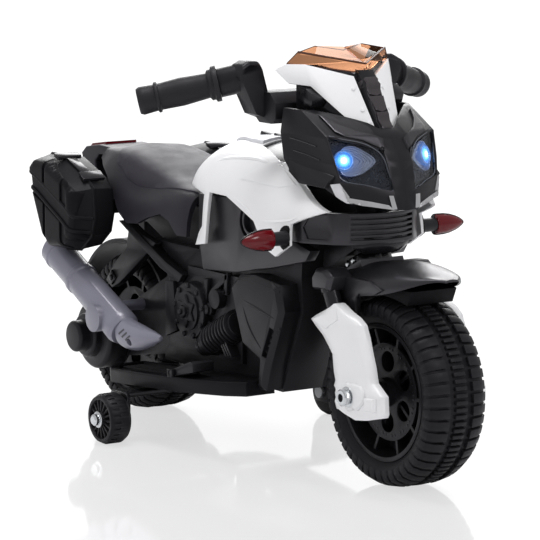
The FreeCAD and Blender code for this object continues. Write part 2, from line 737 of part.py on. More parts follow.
for solid in both_sides(cheek):
    nose_block = nose_block.cut(solid)
nose_block = nose_block.cut(cowl_shape).cut(hub_room)
nose_block = max(nose_block.Solids, key=lambda item: item.Volume)
keep(form("spine_form", nose_block), "screen_spine")

# Amber windscreen: a V blade with a raised rear plate
screen_wall = d.screen_wall.value
blade_edge = from_head(((-15, 0, 201.6), (-70, 71, 212), (-60.5, 61, 226), (-12, 0, 213)))
visor_edge = from_head(((-14, 0, 212.5), (-60.5, 61, 225), (-68, 33, 231), (-58, 0, 224)))
blade = facet(blade_edge, (0, 1, 2), screen_wall)[0]
visor = facet(visor_edge, (0, 1, 2), screen_wall)[0]
half_screen = blade.fuse(visor)
middle = Part.makeBox(400, 200, 400, V(head_x.value - 200, -200, head_z.value))
half_screen = half_screen.common(middle)
screen = half_screen.fuse(half_screen.mirror(V(0, 0, 0), V(0, 1, 0))).removeSplitter()
for blocked in [nose_block] + both_sides(cheek):
    screen = screen.cut(blocked)
keep(form("screen_form", max(screen.Solids, key=lambda item: item.Volume)), "windscreen")

# Chrome trim under each lamp
trim_points = [
    V(head_x.value + x, -y, head_z.value + z)
    for x, y, z in ((28, 75, 82), (41, 63, 61), (69.5, 14, 55), (68, 14.5, 68))
]
trim_path = Part.makePolygon(trim_points)
start = trim_points[1] - trim_points[0]
ring = Part.Wire([Part.Circle(trim_points[0], start, d.trim_radius.value).toShape()])
trim = trim_path.makePipeShell([ring], True, True, 1)
trim = trim.cut(cowl_shape)
keep(form("trim_form", Part.makeCompound(both_sides(max(trim.Solids, key=lambda item: item.Volume)))),
     "lamp_trims")


# Body shells: two hollow halves with the steering neck and the rear wheel plates
half = d.shell_half_width
low_z = d.ground_clearance
belly_rear = rear_x + rear_r + d.arch_gap + 12
belly_front = front_x - front_r - 57
nose_x = front_x - front_r - 14
core_outline = [
    (belly_rear, low_z), (belly_front, low_z), (nose_x, head_z - 76), (nose_x - 4, head_z - 38),
    (nose_x - 1, head_z + 6), (nose_x - 1, head_z + 50), (nose_x - 12, head_z + 64), (-50, head_z + 64),
    (-53, head_z + 18), (rear_x - 54, head_z + 18), (rear_x - 54, head_z - 8),
    (rear_x + 60, head_z - 14), (belly_rear + 8, head_z - 44),
]
neck_box = Part.makeBox(103, 2 * d.neck_half_width.value, d.neck_length.value,
                        V(-75, -d.neck_half_width.value, 0))
neck_box.Placement = FreeCAD.Placement(steer_point(0, 0, 0), FreeCAD.Rotation(V(0, -1, 0), d.rake.value))
core_solid = prism(core_outline, -half, half).fuse(neck_box)
tail_side = prism([
    (rear_x - 80, head_z - 30), (-66, head_z - 30), (-66, head_z + 40), (rear_x - 80, head_z + 40),
], d.tail_half_width, 200)
for strip in (tail_side, tail_side.mirror(V(0, 0, 0), V(0, 1, 0))):
    core_solid = core_solid.cut(strip)
plate_outline = [
    (belly_rear + 12, low_z + 8), (belly_rear + 12, low_z + 108), (rear_x + 24, rear_r + 34),
    (rear_x - 14, rear_r + 26), (rear_x - 27, rear_r + 6), (rear_x - 22, rear_r - 18),
    (rear_x + 20, rear_r - 28),
]
for start, end in ((-half, -half + d.plate_thickness), (half - d.plate_thickness, half)):
    core_solid = core_solid.fuse(prism(plate_outline, start, end))
wall = d.shell_wall.value
engine_room = prism([
    (belly_rear + 16, low_z + wall), (belly_front - 4, low_z + wall), (nose_x - 8, head_z - 74),
    (nose_x - 10, head_z - 46), (belly_rear + 20, head_z - 52),
], -half + wall, half - wall)
tank_room = prism([
    (-40, head_z - 30), (nose_x - 50, head_z - 14), (nose_x - 60, head_z + 58), (-48, head_z + 58),
], -half + wall, half - wall)
tail_room = prism([
    (rear_x - 44, head_z + 4), (-120, head_z - 4), (-90, head_z + 12), (rear_x - 44, head_z + 12),
], -d.tail_half_width + wall, d.tail_half_width - wall)
core_solid = core_solid.cut(engine_room.fuse(tank_room).fuse(tail_room))
neck_bore = float(bush_out + d.running_gap)
column_bore = Part.makeCylinder(neck_bore, 400, steer_point(0, 0, -100), steer_up())
core_solid = core_solid.cut(column_bore)
rear_centre = V(rear_x.value, 0, rear_r.value)
hub_hole = Part.makeCylinder(float(d.hub_radius - d.hub_step + 1.5), 60, rear_centre, V(0, -1, 0))
axle_hole = Part.makeCylinder(float(d.axle_radius + d.running_gap), 100, rear_centre, V(0, 1, 0))
core_solid = core_solid.cut(hub_hole).cut(axle_hole)
right_side = Part.makeBox(1200, 300, 800, V(-600, -300, -100))
left_side = Part.makeBox(1200, 300, 800, V(-600, 0, -100))
for label, region in (("body_shell_right", right_side), ("body_shell_left", left_side)):
    shell = core_solid.common(region)
    keep(form(label + "_form", max(shell.Solids, key=lambda item: item.Volume)), label)


# Skins: smooth cross sections along the length, mirrored about the middle
def skin(x, points, inset=0):
    shrunk = []
    for y, z in points:
        drop = inset if z > points[-1][1] else 0
        shrunk.append((max(y - inset, 0) if y else 0, z - drop))
    line = Part.BSplineCurve()
    spots = [V(x, -y, head_z.value + z) for y, z in reversed(shrunk)]
    spots = spots + [V(x, y, head_z.value + z) for y, z in shrunk[1:]]
    line.interpolate(spots)
    return Part.Wire([line.toShape(), Part.makeLine(spots[-1], spots[0])])


# Tank cover: dome, forward arms and rear legs cut from one skin
tank_sections = (
    (-293, ((0, 66), (30, 63), (52, 54), (60, 44), (60, -24))),
    (-274, ((0, 94), (34, 89), (62, 70), (70, 46), (74, -24))),
    (-230, ((0, 109), (38, 102), (70, 74), (79, 46), (86, -24))),
    (-170, ((0, 112), (42, 104), (74, 78), (84, 46), (90, -24))),
    (-125, ((0, 110), (48, 102), (77, 77), (88, 44), (94, -24))),
    (-80, ((0, 105), (54, 97), (80, 72), (92, 38), (96, -24))),
    (-20, ((0, 92), (58, 82), (82, 64), (93, 34), (96, -24))),
    (24, ((0, 72), (52, 62), (70, 50), (74, 34), (76, -24))),
)


def tank_skin(inset):
    return loft([skin(head_x.value + x, points, inset) for x, points in tank_sections])


tank_outer = tank_skin(0)
tank_inner = tank_skin(d.tank_wall.value)
tank_side = [
    (-292, 52), (-292, 160), (-106, 160), (-93, 99), (-28, 72), (19.5, 50), (-18, 36), (-29, 32), (-27, 8),
    (-55, -8), (-74, -2), (-96, 16), (-108, 27), (-180, 48), (-222, 48), (-222, 34), (-224, -14), (-253, -19),
    (-246, -4), (-236, 6), (-236, 44), (-262, 48),
]
tank_region = prism([(head_x + x, head_z + z) for x, z in tank_side], -130, 130)
tank_shape = tank_outer.cut(tank_inner).common(tank_region)
core_top = head_z + 64
tank_post = standing(-30, -22, 40, core_top.value, core_top.value + 60)
tank_shape = tank_shape.fuse(tank_post.common(tank_outer))
dash_plan = [(head_x - 172, -36), (head_x - 92, -62)]
dash_room = upright(mirrored(dash_plan), head_z + 80, head_z + 160)
tank_shape = tank_shape.cut(dash_room)

# Switch lid on the tank and the dark dash in front of it
lid_gap = d.seat_gap.value
lid_plan = [(head_x - 284, 0), (head_x - 262, -15), (head_x - 210, -29), (head_x - 176, -33)]
lid_block = upright(mirrored(lid_plan), head_z + 60, head_z + 140)
lid = tank_skin(-d.lid_thickness.value).cut(tank_skin(-lid_gap)).common(lid_block)
dash_inset = [(head_x - 171.5, -35), (head_x - 92, -60.5)]
dash_block = upright(mirrored(dash_inset), head_z + 80, head_z + 160)
dash = tank_skin(1.5).cut(tank_skin(6)).common(dash_block).common(tank_region)
dash_post = standing(nose_x.value - 60, nose_x.value - 50, 30, core_top.value, core_top.value + 60)
dash = dash.fuse(dash_post.common(tank_skin(3)))
switch_spots = (("power_switch", head_x - 212), ("direction_switch", head_x - 183))
long_half = d.switch_length.value / 2
wide_half = d.switch_width.value / 2
switch_gap = d.side_gap.value
for label, spot in switch_spots:
    hole = standing(float(spot) - long_half - switch_gap, float(spot) + long_half + switch_gap,
                    wide_half + switch_gap, head_z.value + 95, head_z.value + 160)
    lid = lid.cut(hole)
    tank_shape = tank_shape.cut(hole)
tank_solid = max(tank_shape.Solids, key=lambda item: item.Volume)
keep(form("tank_form", tank_solid), "tank_cover")
keep(form("lid_form", max(lid.Solids, key=lambda item: item.Volume)), "tank_lid")
keep(form("dash_form", max(dash.Solids, key=lambda item: item.Volume)), "dash_panel")
switch_z = head_z + 111
for label, spot in switch_spots:
    rocker = new_body(label)
    long_part = d.switch_length / 2
    rocker_outline = [
        (-long_part, -1), (-3, -8), (3, -8), (long_part, -1), (long_part, 2), (0, 4.5),
        (-long_part + 2.6, 7), (-long_part, 2),
    ]
    rocker_sketch = sketch_on(rocker, "XZ_Plane", label + "_outline")
    add_pad(rocker, draw(rocker_sketch, rocker_outline), d.switch_width, both=True)
    keep(at(rocker, spot, 0, switch_z), label)

# Seat: crowned pad with side skirts, carried on two cross ribs
seat_front = head_x - 275
seat_back = rear_x + 31
seat_run = seat_front - seat_back


def along_seat(share):
    return seat_back + seat_run * share


seat_sections = (
    (seat_front, 39, 35, 64, 80), (along_seat(0.879), 44, 38, 68, 84), (along_seat(0.715), 49, 37, 70, 85),
    (along_seat(0.493), 58, 35, 70, 85), (along_seat(0.219), 69, 36, 70, 84), (seat_back, 75, 50, 66, 80),
    (rear_x - 4, 76, 60, 58, 70), (rear_x - 42, 73, 62, 46, 54),
)


def seat_skin(inset):
    wires = []
    for x, top, crease, pad_half, low_half in seat_sections:
        points = ((0, top), (pad_half * 0.5, top - 2), (pad_half * 0.84, (top * 2 + crease) / 3),
                  (pad_half, crease), (pad_half + (low_half - pad_half) * 0.7, crease - 16), (low_half, -24))
        wires.append(skin(float(x), points, inset))
    return loft(wires)


seat_side = [
    (seat_front, 60), (seat_front + 7, 36), (seat_front + 8, 4), (seat_front, -12), (along_seat(0.912), -12),
    (along_seat(0.814), 4), (along_seat(0.704), 10), (along_seat(0.548), 2), (along_seat(0.438), -7),
    (along_seat(0.296), -9), (along_seat(0.186), 2), (along_seat(0.044), 26), (rear_x + 9, 42),
    (rear_x - 29, 54), (rear_x - 43, 58), (rear_x - 43, 110), (seat_front, 110),
]
seat_region = prism([(x, head_z + z) for x, z in seat_side], -130, 130)
seat_outer = seat_skin(0)
seat_shape = seat_outer.cut(seat_skin(d.seat_wall.value)).common(seat_region)
seat_base = head_z.value + 18
for start in (rear_x.value + 20, along_seat(0.753).value):
    rib = standing(start, start + 6, 36, seat_base, seat_base + 80)
    seat_shape = seat_shape.fuse(rib.common(seat_outer))
keep(form("seat_form", max(seat_shape.Solids, key=lambda item: item.Volume)), "seat")

# Tail grab rail with its light strip, and the rear mudguard
rail = new_body("grab_rail")
rail_outline = [
    (-43.3, 70), (-74, 71), (-107, 66), (-119, 57), (-113, 42), (-95, -2), (-70, -12), (-54, -12), (-54, 14),
    (-70, 20), (-81, 34), (-83, 50), (-75, 58), (-43.3, 60),
]
rail_sketch = sketch_on(rail, "XZ_Plane", "rail_outline")
draw(rail_sketch, [(rear_x + x, head_z + z) for x, z in rail_outline])
rail_pad = add_pad(rail, rail_sketch, d.rail_width, both=True)
soften(rail, rail_pad, 2.5, lambda e: abs(e.Vertexes[0].Y - e.Vertexes[-1].Y) < 0.01)
keep(rail, "grab_rail")
light = new_body("tail_light")
light_outline = [(-74, 71), (-74, 74), (-108, 69), (-124, 58), (-119, 57), (-107, 66)]
light_sketch = draw(sketch_on(light, "XZ_Plane", "light_outline"),
                    [(rear_x + x, head_z + z) for x, z in light_outline])
add_pad(light, light_sketch, d.tail_light_width, both=True)
keep(light, "tail_light")
guard_in = rear_r.value + d.arch_gap.value + 3
guard_wide = d.guard_width.value
hub_spot = V(rear_x.value, -guard_wide / 2, rear_r.value)
guard_ring = Part.makeCylinder(guard_in + d.guard_wall.value, guard_wide, hub_spot, V(0, 1, 0))
guard_ring = guard_ring.cut(Part.makeCylinder(guard_in, guard_wide, hub_spot, V(0, 1, 0)))
guard_wedge = [(rear_x, rear_r)]
far_out = 3 * rear_r
for degrees in (36, 90, 152):
    angle = math.radians(degrees)
    guard_wedge.append((rear_x + far_out * math.cos(angle), rear_r + far_out * math.sin(angle)))
guard_ring = guard_ring.common(prism(guard_wedge, -60, 60))
post_low = rear_r.value + guard_in + 1
guard_post = standing(rear_x.value - 16, rear_x.value + 16, 20, post_low, head_z.value + 10)
guard = guard_ring.fuse(guard_post.cut(prism(core_outline, -half, half)))
keep(form("guard_form", guard.removeSplitter()), "rear_mudguard")


# Chin with a ribbed grille and a six sided intake on each flank
chin_low = head_z + 10
chin_high = head_z + 46
chin_half = [
    (head_x + 33, 0), (head_x + 29, -25), (head_x + 19, -46), (head_x + 9, -58), (head_x - 27, -80),
    (head_x - 40, -80),
]
chin_inner = [
    (head_x + 21, 0), (head_x + 18, -23), (head_x + 9, -41), (head_x + 1, -50), (head_x - 31, -70),
    (head_x - 40, -70),
]
chin = upright(mirrored(chin_half), chin_low, chin_high)
chin = chin.cut(upright(mirrored(chin_inner), chin_low, chin_high))
bridge_plan = [(nose_x - 1, -79), (nose_x + 18, -79), (nose_x + 18, -40), (nose_x - 1, -40)]
for sign in (1, -1):
    bridge = upright([(x, sign * y) for x, y in bridge_plan], chin_low, chin_high)
    chin = chin.fuse(bridge)
grille_depth = d.grille_depth.value
grille_count = int(d.grille_ribs.value)
slot_high = d.grille_slot.value
grille_pitch = (float(chin_high) - float(chin_low) - 6) / grille_count
groove_inner = mirrored([(x - grille_depth, y) for x, y in chin_half])
groove_ring = upright(mirrored(chin_half), 0, slot_high).cut(upright(groove_inner, 0, slot_high))
groove_ring = groove_ring.common(Part.makeBox(200, 86, 10, V(head_x.value, -43, 0)))
for index in range(grille_count):
    groove = groove_ring.copy()
    groove.translate(V(0, 0, float(chin_low) + 5 + index * grille_pitch))
    chin = chin.cut(groove)
flank_first, flank_last = (V(float(x), float(y), 0) for x, y in chin_half[3:5])
flank = flank_last - flank_first
flank_out = V(flank.y, -flank.x, 0).normalize()
if flank_out.y > 0:
    flank_out = flank_out * -1
flank_start = flank_first + V(0, 0, float(chin_low))
intake = []
for share, rise in ((0.08, 0.3), (0.25, 0.86), (0.75, 0.86), (0.93, 0.5), (0.8, 0.14), (0.2, 0.14)):
    intake.append(flank_start + flank * share + V(0, 0, rise * (float(chin_high) - float(chin_low))))
pocket = Part.Face(Part.makePolygon(intake + intake[:1])).extrude(flank_out * -4)
for hole in both_sides(pocket):
    chin = chin.cut(hole)
neck_wide = float(d.neck_half_width + d.seat_gap)
neck_room = Part.makeBox(140, 2 * neck_wide, d.neck_length.value + 80, V(-110, -neck_wide, -40))
neck_room.Placement = neck_box.Placement
chin = chin.cut(neck_room)
keep(form("chin_form", chin.removeSplitter()), "chin_grille")

# Indicators on the tank arms
stalk_root = V(head_x.value - 34, -70, head_z.value + 16)
stalk = Part.makeCone(9, 8, d.indicator_out.value + stalk_root.y, stalk_root, V(0, -1, 0))
stalk = stalk.cut(tank_skin(-lid_gap))
stalk = max(stalk.Solids, key=lambda item: abs(item.CenterOfMass.y))
keep(form("stalk_form", Part.makeCompound(both_sides(stalk))), "indicator_stalks")
bullet = new_body("indicator_lens")
start = d.indicator_out + d.axial_gap
wide = d.indicator_radius
long = d.indicator_length
bullet_profile = [
    (0, -start), (wide, -start), (wide, -start - long * 0.35), (wide - 1.5, -start - long * 0.6),
    (wide - 4, -start - long * 0.82), (wide - 7.5, -start - long * 0.96), (0, -start - long),
]
spin(bullet, draw(sketch_on(bullet, "XY_Plane", "bullet_profile"), bullet_profile))
at(bullet, head_x - 34, 0, head_z + 16)
pair("indicator_lenses", bullet)

# Side panels below the tank with a round duct
panel = new_body("side_panel")
panel_out = d.side_panel_out
panel_outline = [
    (head_x - 262, -12), (head_x - 253, -50), (head_x - 180, -44), (head_x - 97, -28), (head_x - 32, -13),
    (head_x - 22, 0), (nose_x - 1, 8), (nose_x - 4, 40), (head_x - 190, 44), (head_x - 262, 42),
]
panel_sketch = sketch_on(panel, "XZ_Plane", "panel_outline", d.shell_half_width)
draw(panel_sketch, [(x, head_z + z) for x, z in panel_outline])
panel_pad = add_pad(panel, panel_sketch, panel_out - d.shell_half_width)
duct_x = head_x - 150
duct_z = head_z + 20
duct = ring_on(sketch_on(panel, "XZ_Plane", "duct", panel_out), duct_x, duct_z, d.duct_radius)
add_cut(panel, duct, d.duct_depth)
duct_ring = sketch_on(panel, "XZ_Plane", "duct_ring", panel_out - d.duct_depth - 0.5)
ring_on(duct_ring, duct_x, duct_z, d.duct_ring_radius)
ring_on(duct_ring, duct_x, duct_z, d.duct_ring_radius - d.duct_ring_wall)
add_pad(panel, duct_ring, d.duct_depth)
pair("side_panels", panel)

# Engine panels: clutch cover and finned barrel on a backing plate
engine = new_body("engine_panel")
mid_z = low_z + 74
clutch_x = -62
engine_front = clutch_x + 102
joint_x = rear_x + 178
engine_outline = [
    (rear_x + 143, low_z + 22), (rear_x + 143, head_z - 64), (joint_x, head_z - 75),
    (joint_x + 11, head_z - 64),
    (joint_x + 11, head_z - 52), (engine_front, head_z - 52), (engine_front, low_z + 22),
]
skin_y = half + d.engine_plate
add_pad(engine, draw(sketch_on(engine, "XZ_Plane", "engine_plate", half), engine_outline), d.engine_plate)
clutch = ring_on(sketch_on(engine, "XZ_Plane", "clutch", skin_y - 1), clutch_x, mid_z, d.clutch_radius)
add_pad(engine, clutch, d.clutch_height, taper=-8)
clutch_y = skin_y - 1 + d.clutch_height
clutch_cap = ring_on(sketch_on(engine, "XZ_Plane", "clutch_cap", clutch_y - 1), clutch_x, mid_z, 24)
add_pad(engine, clutch_cap, 4)
clutch_hub = ring_on(sketch_on(engine, "XZ_Plane", "clutch_hub", clutch_y + 2), clutch_x, mid_z, 9)
add_pad(engine, clutch_hub, 5)
crank = ring_on(sketch_on(engine, "XZ_Plane", "crank", skin_y - 1), clutch_x + 54, mid_z - 26, 17)
add_pad(engine, crank, 10)
crank_top = ring_on(sketch_on(engine, "XZ_Plane", "crank_top", skin_y - 1), clutch_x + 56, mid_z + 22, 12)
add_pad(engine, crank_top, 12)
fin = sketch_on(engine, "XZ_Plane", "fin", skin_y - 1)
fin_outline = [(64, -20), (84, -44), (87, -43), (67, -19)]
draw(fin, [(clutch_x + x, mid_z + z) for x, z in fin_outline])
fin_pad = add_pad(engine, fin, 14)
rear_box = sketch_on(engine, "XZ_Plane", "rear_box", skin_y - 1)
box_outline = [(147, -40), (147, 28), (165, 30), (173, -30)]
draw(rear_box, [(rear_x + x, mid_z + z) for x, z in box_outline])
add_pad(engine, rear_box, 8)
repeat_along(engine, fin_pad, "X_Axis", 12, 3)
pair("engine_panels", engine)

# Radiator shrouds with a louvre slot
shroud = new_body("radiator_shroud")
shroud_back = engine_front + 4
shroud_run = nose_x - shroud_back


def along_shroud(share):
    return shroud_back + shroud_run * share


shroud_outline = [
    (shroud_back, head_z - 58), (along_shroud(0.154), head_z - 43), (along_shroud(0.41), head_z - 40),
    (along_shroud(0.88), head_z - 45), (nose_x - 5, head_z - 76), (along_shroud(0.71), low_z + 34),
    (belly_front, low_z + 4), (belly_front - 16, low_z + 4), (belly_front - 12, low_z + 38),
    (along_shroud(0.222), low_z + 52), (along_shroud(0.103), low_z + 86),
]
shroud_sketch = draw(sketch_on(shroud, "XZ_Plane", "shroud_outline", half), shroud_outline)
shroud_pad = add_pad(shroud, shroud_sketch, d.shroud_depth)
shroud_face = -(half.value + d.shroud_depth.value)
soften(shroud, shroud_pad, 6, lambda e: all(abs(v.Y - shroud_face) < 0.01 for v in e.Vertexes), "Chamfer")
slot = sketch_on(shroud, "XZ_Plane", "slot", half + d.shroud_depth)
draw(slot, [
    (along_shroud(0.607), low_z + 46), (along_shroud(0.692), low_z + 44), (along_shroud(0.829), low_z + 80),
    (along_shroud(0.752), low_z + 82),
])
add_cut(shroud, slot, d.louvre_depth)
pair("radiator_shrouds", shroud)

# Footboards with ribbed mats; the right one carries the pedal ears
foot_points = [
    (-d.foot_rear + 4, half), (-d.foot_rear, 82), (-d.foot_rear + 14, d.foot_reach - 14),
    (-d.foot_rear + 38, d.foot_reach - 1), (-70, d.foot_reach),
    (40, d.foot_reach - 2), (112, d.foot_reach - 16), (140, d.foot_reach - 30), (140, half),
]


def footboard(label, sign):
    body = new_body(label)
    outline = draw(sketch_on(body, "XY_Plane", label + "_outline", -d.foot_thickness),
                   [(x, sign * y) for x, y in foot_points])
    base = add_pad(body, outline, d.foot_thickness)
    soften(body, base, 3, lambda e: all(abs(v.Z) < 0.01 and abs(v.Y) > half.value + 1 for v in e.Vertexes))
    well = sketch_on(body, "XY_Plane", label + "_well")
    well_points = [
        (-d.foot_rear + 12, half + 6), (-d.foot_rear + 24, d.foot_reach - 22),
        (-d.foot_rear + 46, d.foot_reach - 9), (-22, d.foot_reach - 8),
        (-22, half + 6),
    ]
    draw(well, [(x, sign * y) for x, y in well_points])
    add_cut(body, well, d.mat_depth)
    rib_level = d.mat_depth + d.axial_gap
    rib = sketch_on(body, "XY_Plane", label + "_rib", -rib_level)
    rib_near = half + 9
    rib_far = rib_near + d.mat_rib_width
    rib_back = -d.foot_rear + 30
    rib_points = [(rib_back, rib_near), (-26, rib_near), (-26, rib_far), (rib_back, rib_far)]
    draw(rib, [(x, sign * y) for x, y in rib_points])
    rib_pad = add_pad(body, rib, rib_level)
    ribs = repeat_along(body, rib_pad, "Y_Axis", d.mat_rib_span, int(d.mat_ribs.value))
    ribs.Reversed = sign < 0
    return body


def on_foot(obj):
    turned(obj, (0, -1, 0), d.foot_pitch)
    return at(obj, d.foot_x, 0, d.foot_top)


board_left = footboard("footboard_left", 1)
keep(on_foot(board_left), "footboard_left")
board_right = footboard("footboard_right", -1)
pedal_y = d.foot_reach - 22
pin_z = 5
ear = sketch_on(board_right, "XY_Plane", "pedal_ears", -1)
pin_x = 14
for side in (-1, 1):
    near = -pedal_y + side * (d.pedal_width / 2 + d.side_gap)
    far = near + side * 4
    draw(ear, [(pin_x - 6, near), (pin_x + 6, near), (pin_x + 6, far), (pin_x - 6, far)])
add_pad(board_right, ear, 10)
pin_bore = d.pedal_pin_radius + d.running_gap
pin_hole = ring_on(sketch_on(board_right, "XZ_Plane", "pin_hole", pedal_y - 30), pin_x, pin_z, pin_bore)
add_cut(board_right, pin_hole, 60, back=True)
keep(on_foot(board_right), "footboard_right")
pedal = new_body("accelerator_pedal")
pedal_rise = tangent(d.pedal_travel + 1) * d.pedal_length
pedal_outline = [
    (pin_x - 3, 2), (pin_x + 4, 1), (pin_x + d.pedal_length, 0.6 + pedal_rise),
    (pin_x + d.pedal_length, 11 + pedal_rise), (pin_x + d.pedal_length - 6, 13 + pedal_rise), (pin_x + 2, 9),
    (pin_x - 3, 7.6),
]
pedal_sketch = draw(sketch_on(pedal, "XZ_Plane", "pedal_outline", pedal_y), pedal_outline)
add_pad(pedal, pedal_sketch, d.pedal_width, both=True)
pin = ring_on(sketch_on(pedal, "XZ_Plane", "pedal_pin", pedal_y), pin_x, pin_z, d.pedal_pin_radius)
add_pad(pedal, pin, d.pedal_width + 8, both=True)
keep(on_foot(pedal), "accelerator_pedal")


# Panniers: base with a mounting foot and a domed lid
pannier_outline = [
    (-67, 54), (-51, 67), (-21, 67), (35, 46), (51, 32), (55, -2), (47, -28), (21, -48), (-13, -51),
    (-33, -36), (-60, 20),
]
base = new_body("pannier_base")
base_sketch = sketch_on(base, "XZ_Plane", "pannier_base_outline", d.pannier_seam)
draw(base_sketch, [(rear_x + x, head_z + z) for x, z in pannier_outline])
base_pad = add_pad(base, base_sketch, d.pannier_seam - d.pannier_inner, back=True, taper=-7)
base_back = -d.pannier_inner.value
soften(base, base_pad, 6, lambda e: all(abs(v.Y - base_back) < 0.01 for v in e.Vertexes))
foot_block = sketch_on(base, "XZ_Plane", "pannier_foot", d.pannier_inner + 2)
draw(foot_block, [(rear_x + x, head_z + z) for x, z in ((-22, -6), (18, -6), (18, 12), (-22, 12))])
add_pad(base, foot_block, d.pannier_inner + 2 - d.tail_half_width, back=True)
lid_body = new_body("pannier_lid")
lid_sketch = sketch_on(lid_body, "XZ_Plane", "pannier_lid_outline", d.pannier_seam + d.side_gap)
draw(lid_sketch, [(rear_x + x, head_z + z) for x, z in pannier_outline])
lid_pad = add_pad(lid_body, lid_sketch, d.pannier_outer - d.pannier_seam - d.side_gap, taper=-14)
lid_face = -d.pannier_outer.value
soften(lid_body, lid_pad, 8, lambda e: all(abs(v.Y - lid_face) < 0.01 for v in e.Vertexes))
pannier = doc.addObject("Part::Compound", "pannier")
pannier.Links = [base, lid_body]
keep(pannier, "pannier_right")
keep(twin("pannier_twin", pannier), "pannier_left")

# Exhausts: turned muffler with a knob, a bracket and a flattened front tip
muffler = new_body("muffler")
muffler_r = d.muffler_radius
muffler_profile = [
    (0, 0), (muffler_r - 7, 0), (muffler_r, 9), (muffler_r, 20), (muffler_r + 1.2, 21), (muffler_r + 1.2, 25),
    (muffler_r, 26), (muffler_r, 76), (muffler_r + 1.6, 78), (muffler_r + 1.6, 84), (muffler_r, 86),
    (muffler_r + 2, d.muffler_length - 8), (muffler_r - 1, d.muffler_length), (0, d.muffler_length),
]
spin(muffler, draw(sketch_on(muffler, "XZ_Plane", "muffler_profile"), muffler_profile))
tail_x = rear_x - 59
tail_z = head_z - 52
at(turned(muffler, (0, 1, 0), d.muffler_slope + 90), tail_x, -d.muffler_out, tail_z)


def along_muffler(share):
    run = d.muffler_length * share
    return tail_x + run * cosine(d.muffler_slope), tail_z - run * sine(d.muffler_slope)


knob_x, knob_z = along_muffler(0.8)
knob = turned(rod("muffler_knob", d.knob_radius, d.knob_length), (1, 0, 0), 90)
at(knob, knob_x, -d.muffler_out + 5, knob_z - 4)
bracket_x, bracket_z = along_muffler(0.72)
bracket = turned(rod("muffler_bracket", d.bracket_radius, d.muffler_out - half - 9), (1, 0, 0), 90)
at(bracket, bracket_x, -half, bracket_z - 2)
exhaust = joined("exhaust_main", [muffler, knob, bracket])


def oval(x, y, z, tall, wide):
    ring = Part.Ellipse(V(0, 0, 0), tall, wide).toShape()
    ring.Placement = FreeCAD.Placement(V(x, y, z), FreeCAD.Rotation(V(0, 1, 0), 90))
    return Part.Wire([ring])


end_x, end_z = along_muffler(1)
tip_x = end_x.value + 2.5
tip_z = end_z.value
tip_y = -d.muffler_out.value
tip = loft([
    oval(tip_x, tip_y, tip_z, 19, 16), oval(tip_x + 28, tip_y, tip_z - 3, 17, 15),
    oval(tip_x + 56, tip_y + 1, tip_z - 1, 11, 10), oval(tip_x + 78, tip_y + 3, tip_z + 2, 3, 2.5),
])
tip_hole = Part.makeCylinder(d.tip_hole_radius.value, 60, V(tip_x + 30, tip_y + 30, tip_z - 8), V(0, -1, 0))
tip = tip.cut(tip_hole)
doc.recompute()
tip = tip.cut(exhaust.Shape)
tip = max(tip.Solids, key=lambda item: item.Volume)
exhaust_set = doc.addObject("Part::Compound", "exhaust_set")
exhaust_set.Links = [exhaust, form("exhaust_tip", tip)]
keep(exhaust_set, "exhaust_right")
keep(twin("exhaust_twin", exhaust_set), "exhaust_left")

# Side frame bars between the seat rail and the engine
frame = new_body("subframe")
bar_one = [
    (rear_x + 35, -13), (rear_x + 52, -11), (rear_x + 150, -52), (rear_x + 188, -63), (rear_x + 178, -74),
    (rear_x + 136, -61),
]
bar_two = [
    (rear_x + 56, -18), (rear_x + 49, -46), (rear_x + 22, -67), (rear_x - 2, -93), (rear_x + 13, -102),
    (rear_x + 31, -94), (rear_x + 103, -45), (rear_x + 121, -32),
]
for name, outline, start, deep in (("bar_one", bar_one, half, 14), ("bar_two", bar_two, half, 11)):
    bar_sketch = sketch_on(frame, "XZ_Plane", name, start)
    add_pad(frame, draw(bar_sketch, [(x, head_z + z) for x, z in outline]), deep)
pair("subframes", frame)

# Battery and control box in the engine room
battery = doc.addObject("Part::Box", "battery_box")
for prop, value in (("Length", d.battery_length), ("Width", d.battery_width), ("Height", d.battery_height)):
    battery.setExpression(prop, value.text)
at(battery, -60, -d.battery_width / 2, low_z + d.shell_wall)
keep(battery, "battery")
control = doc.addObject("Part::Box", "control_box")
control.Length = 58
control.Width = 40
control.Height = 18
at(control, -48, -20, low_z + d.shell_wall + d.battery_height)
keep(control, "control_board")

# Drive: four stages of equal gears folded about the rear axle
gear_start = d.shell_half_width + d.case_wall + 1.5
centre_gap = d.gear_module * (d.pinion_teeth + d.wheel_teeth) / 2


def stage(index):
    return gear_start + d.stage_pitch * index


def gear_outline(teeth, addendum, first_angle):
    module = d.gear_module.value
    pitch_r = module * teeth / 2
    base_r = pitch_r * math.cos(math.radians(20))
    slack = 0.14
    half_tooth = math.pi / (2 * teeth) - slack / pitch_r
    spread = math.tan(math.radians(20)) - math.radians(20)

    def flank(radius):
        if radius <= base_r:
            return half_tooth + spread
        bend = math.acos(base_r / radius)
        return half_tooth + spread - (math.tan(bend) - bend)

    radii = (pitch_r - 1.15 * module, pitch_r, pitch_r + addendum * module)
    points = []
    for tooth in range(teeth):
        middle = first_angle + 2 * math.pi * tooth / teeth
        for radius in radii:
            points.append((radius, middle - flank(radius)))
        for radius in reversed(radii):
            points.append((radius, middle + flank(radius)))
    return points


def gear(teeth, addendum, on_axle, start, length, bore):
    first = 0 if on_axle else math.pi + math.pi / teeth
    x = rear_x.value + (0 if on_axle else centre_gap.value)
    corners = [
        V(x + r * math.cos(a), -float(start), rear_r.value + r * math.sin(a))
        for r, a in gear_outline(teeth, addendum, first)
    ]
    solid = Part.Face(Part.makePolygon(corners + corners[:1])).extrude(V(0, -float(length), 0))
    hole = Part.makeCylinder(float(bore), 200, V(x, 0, rear_r.value), V(0, -1, 0))
    return solid.cut(hole)


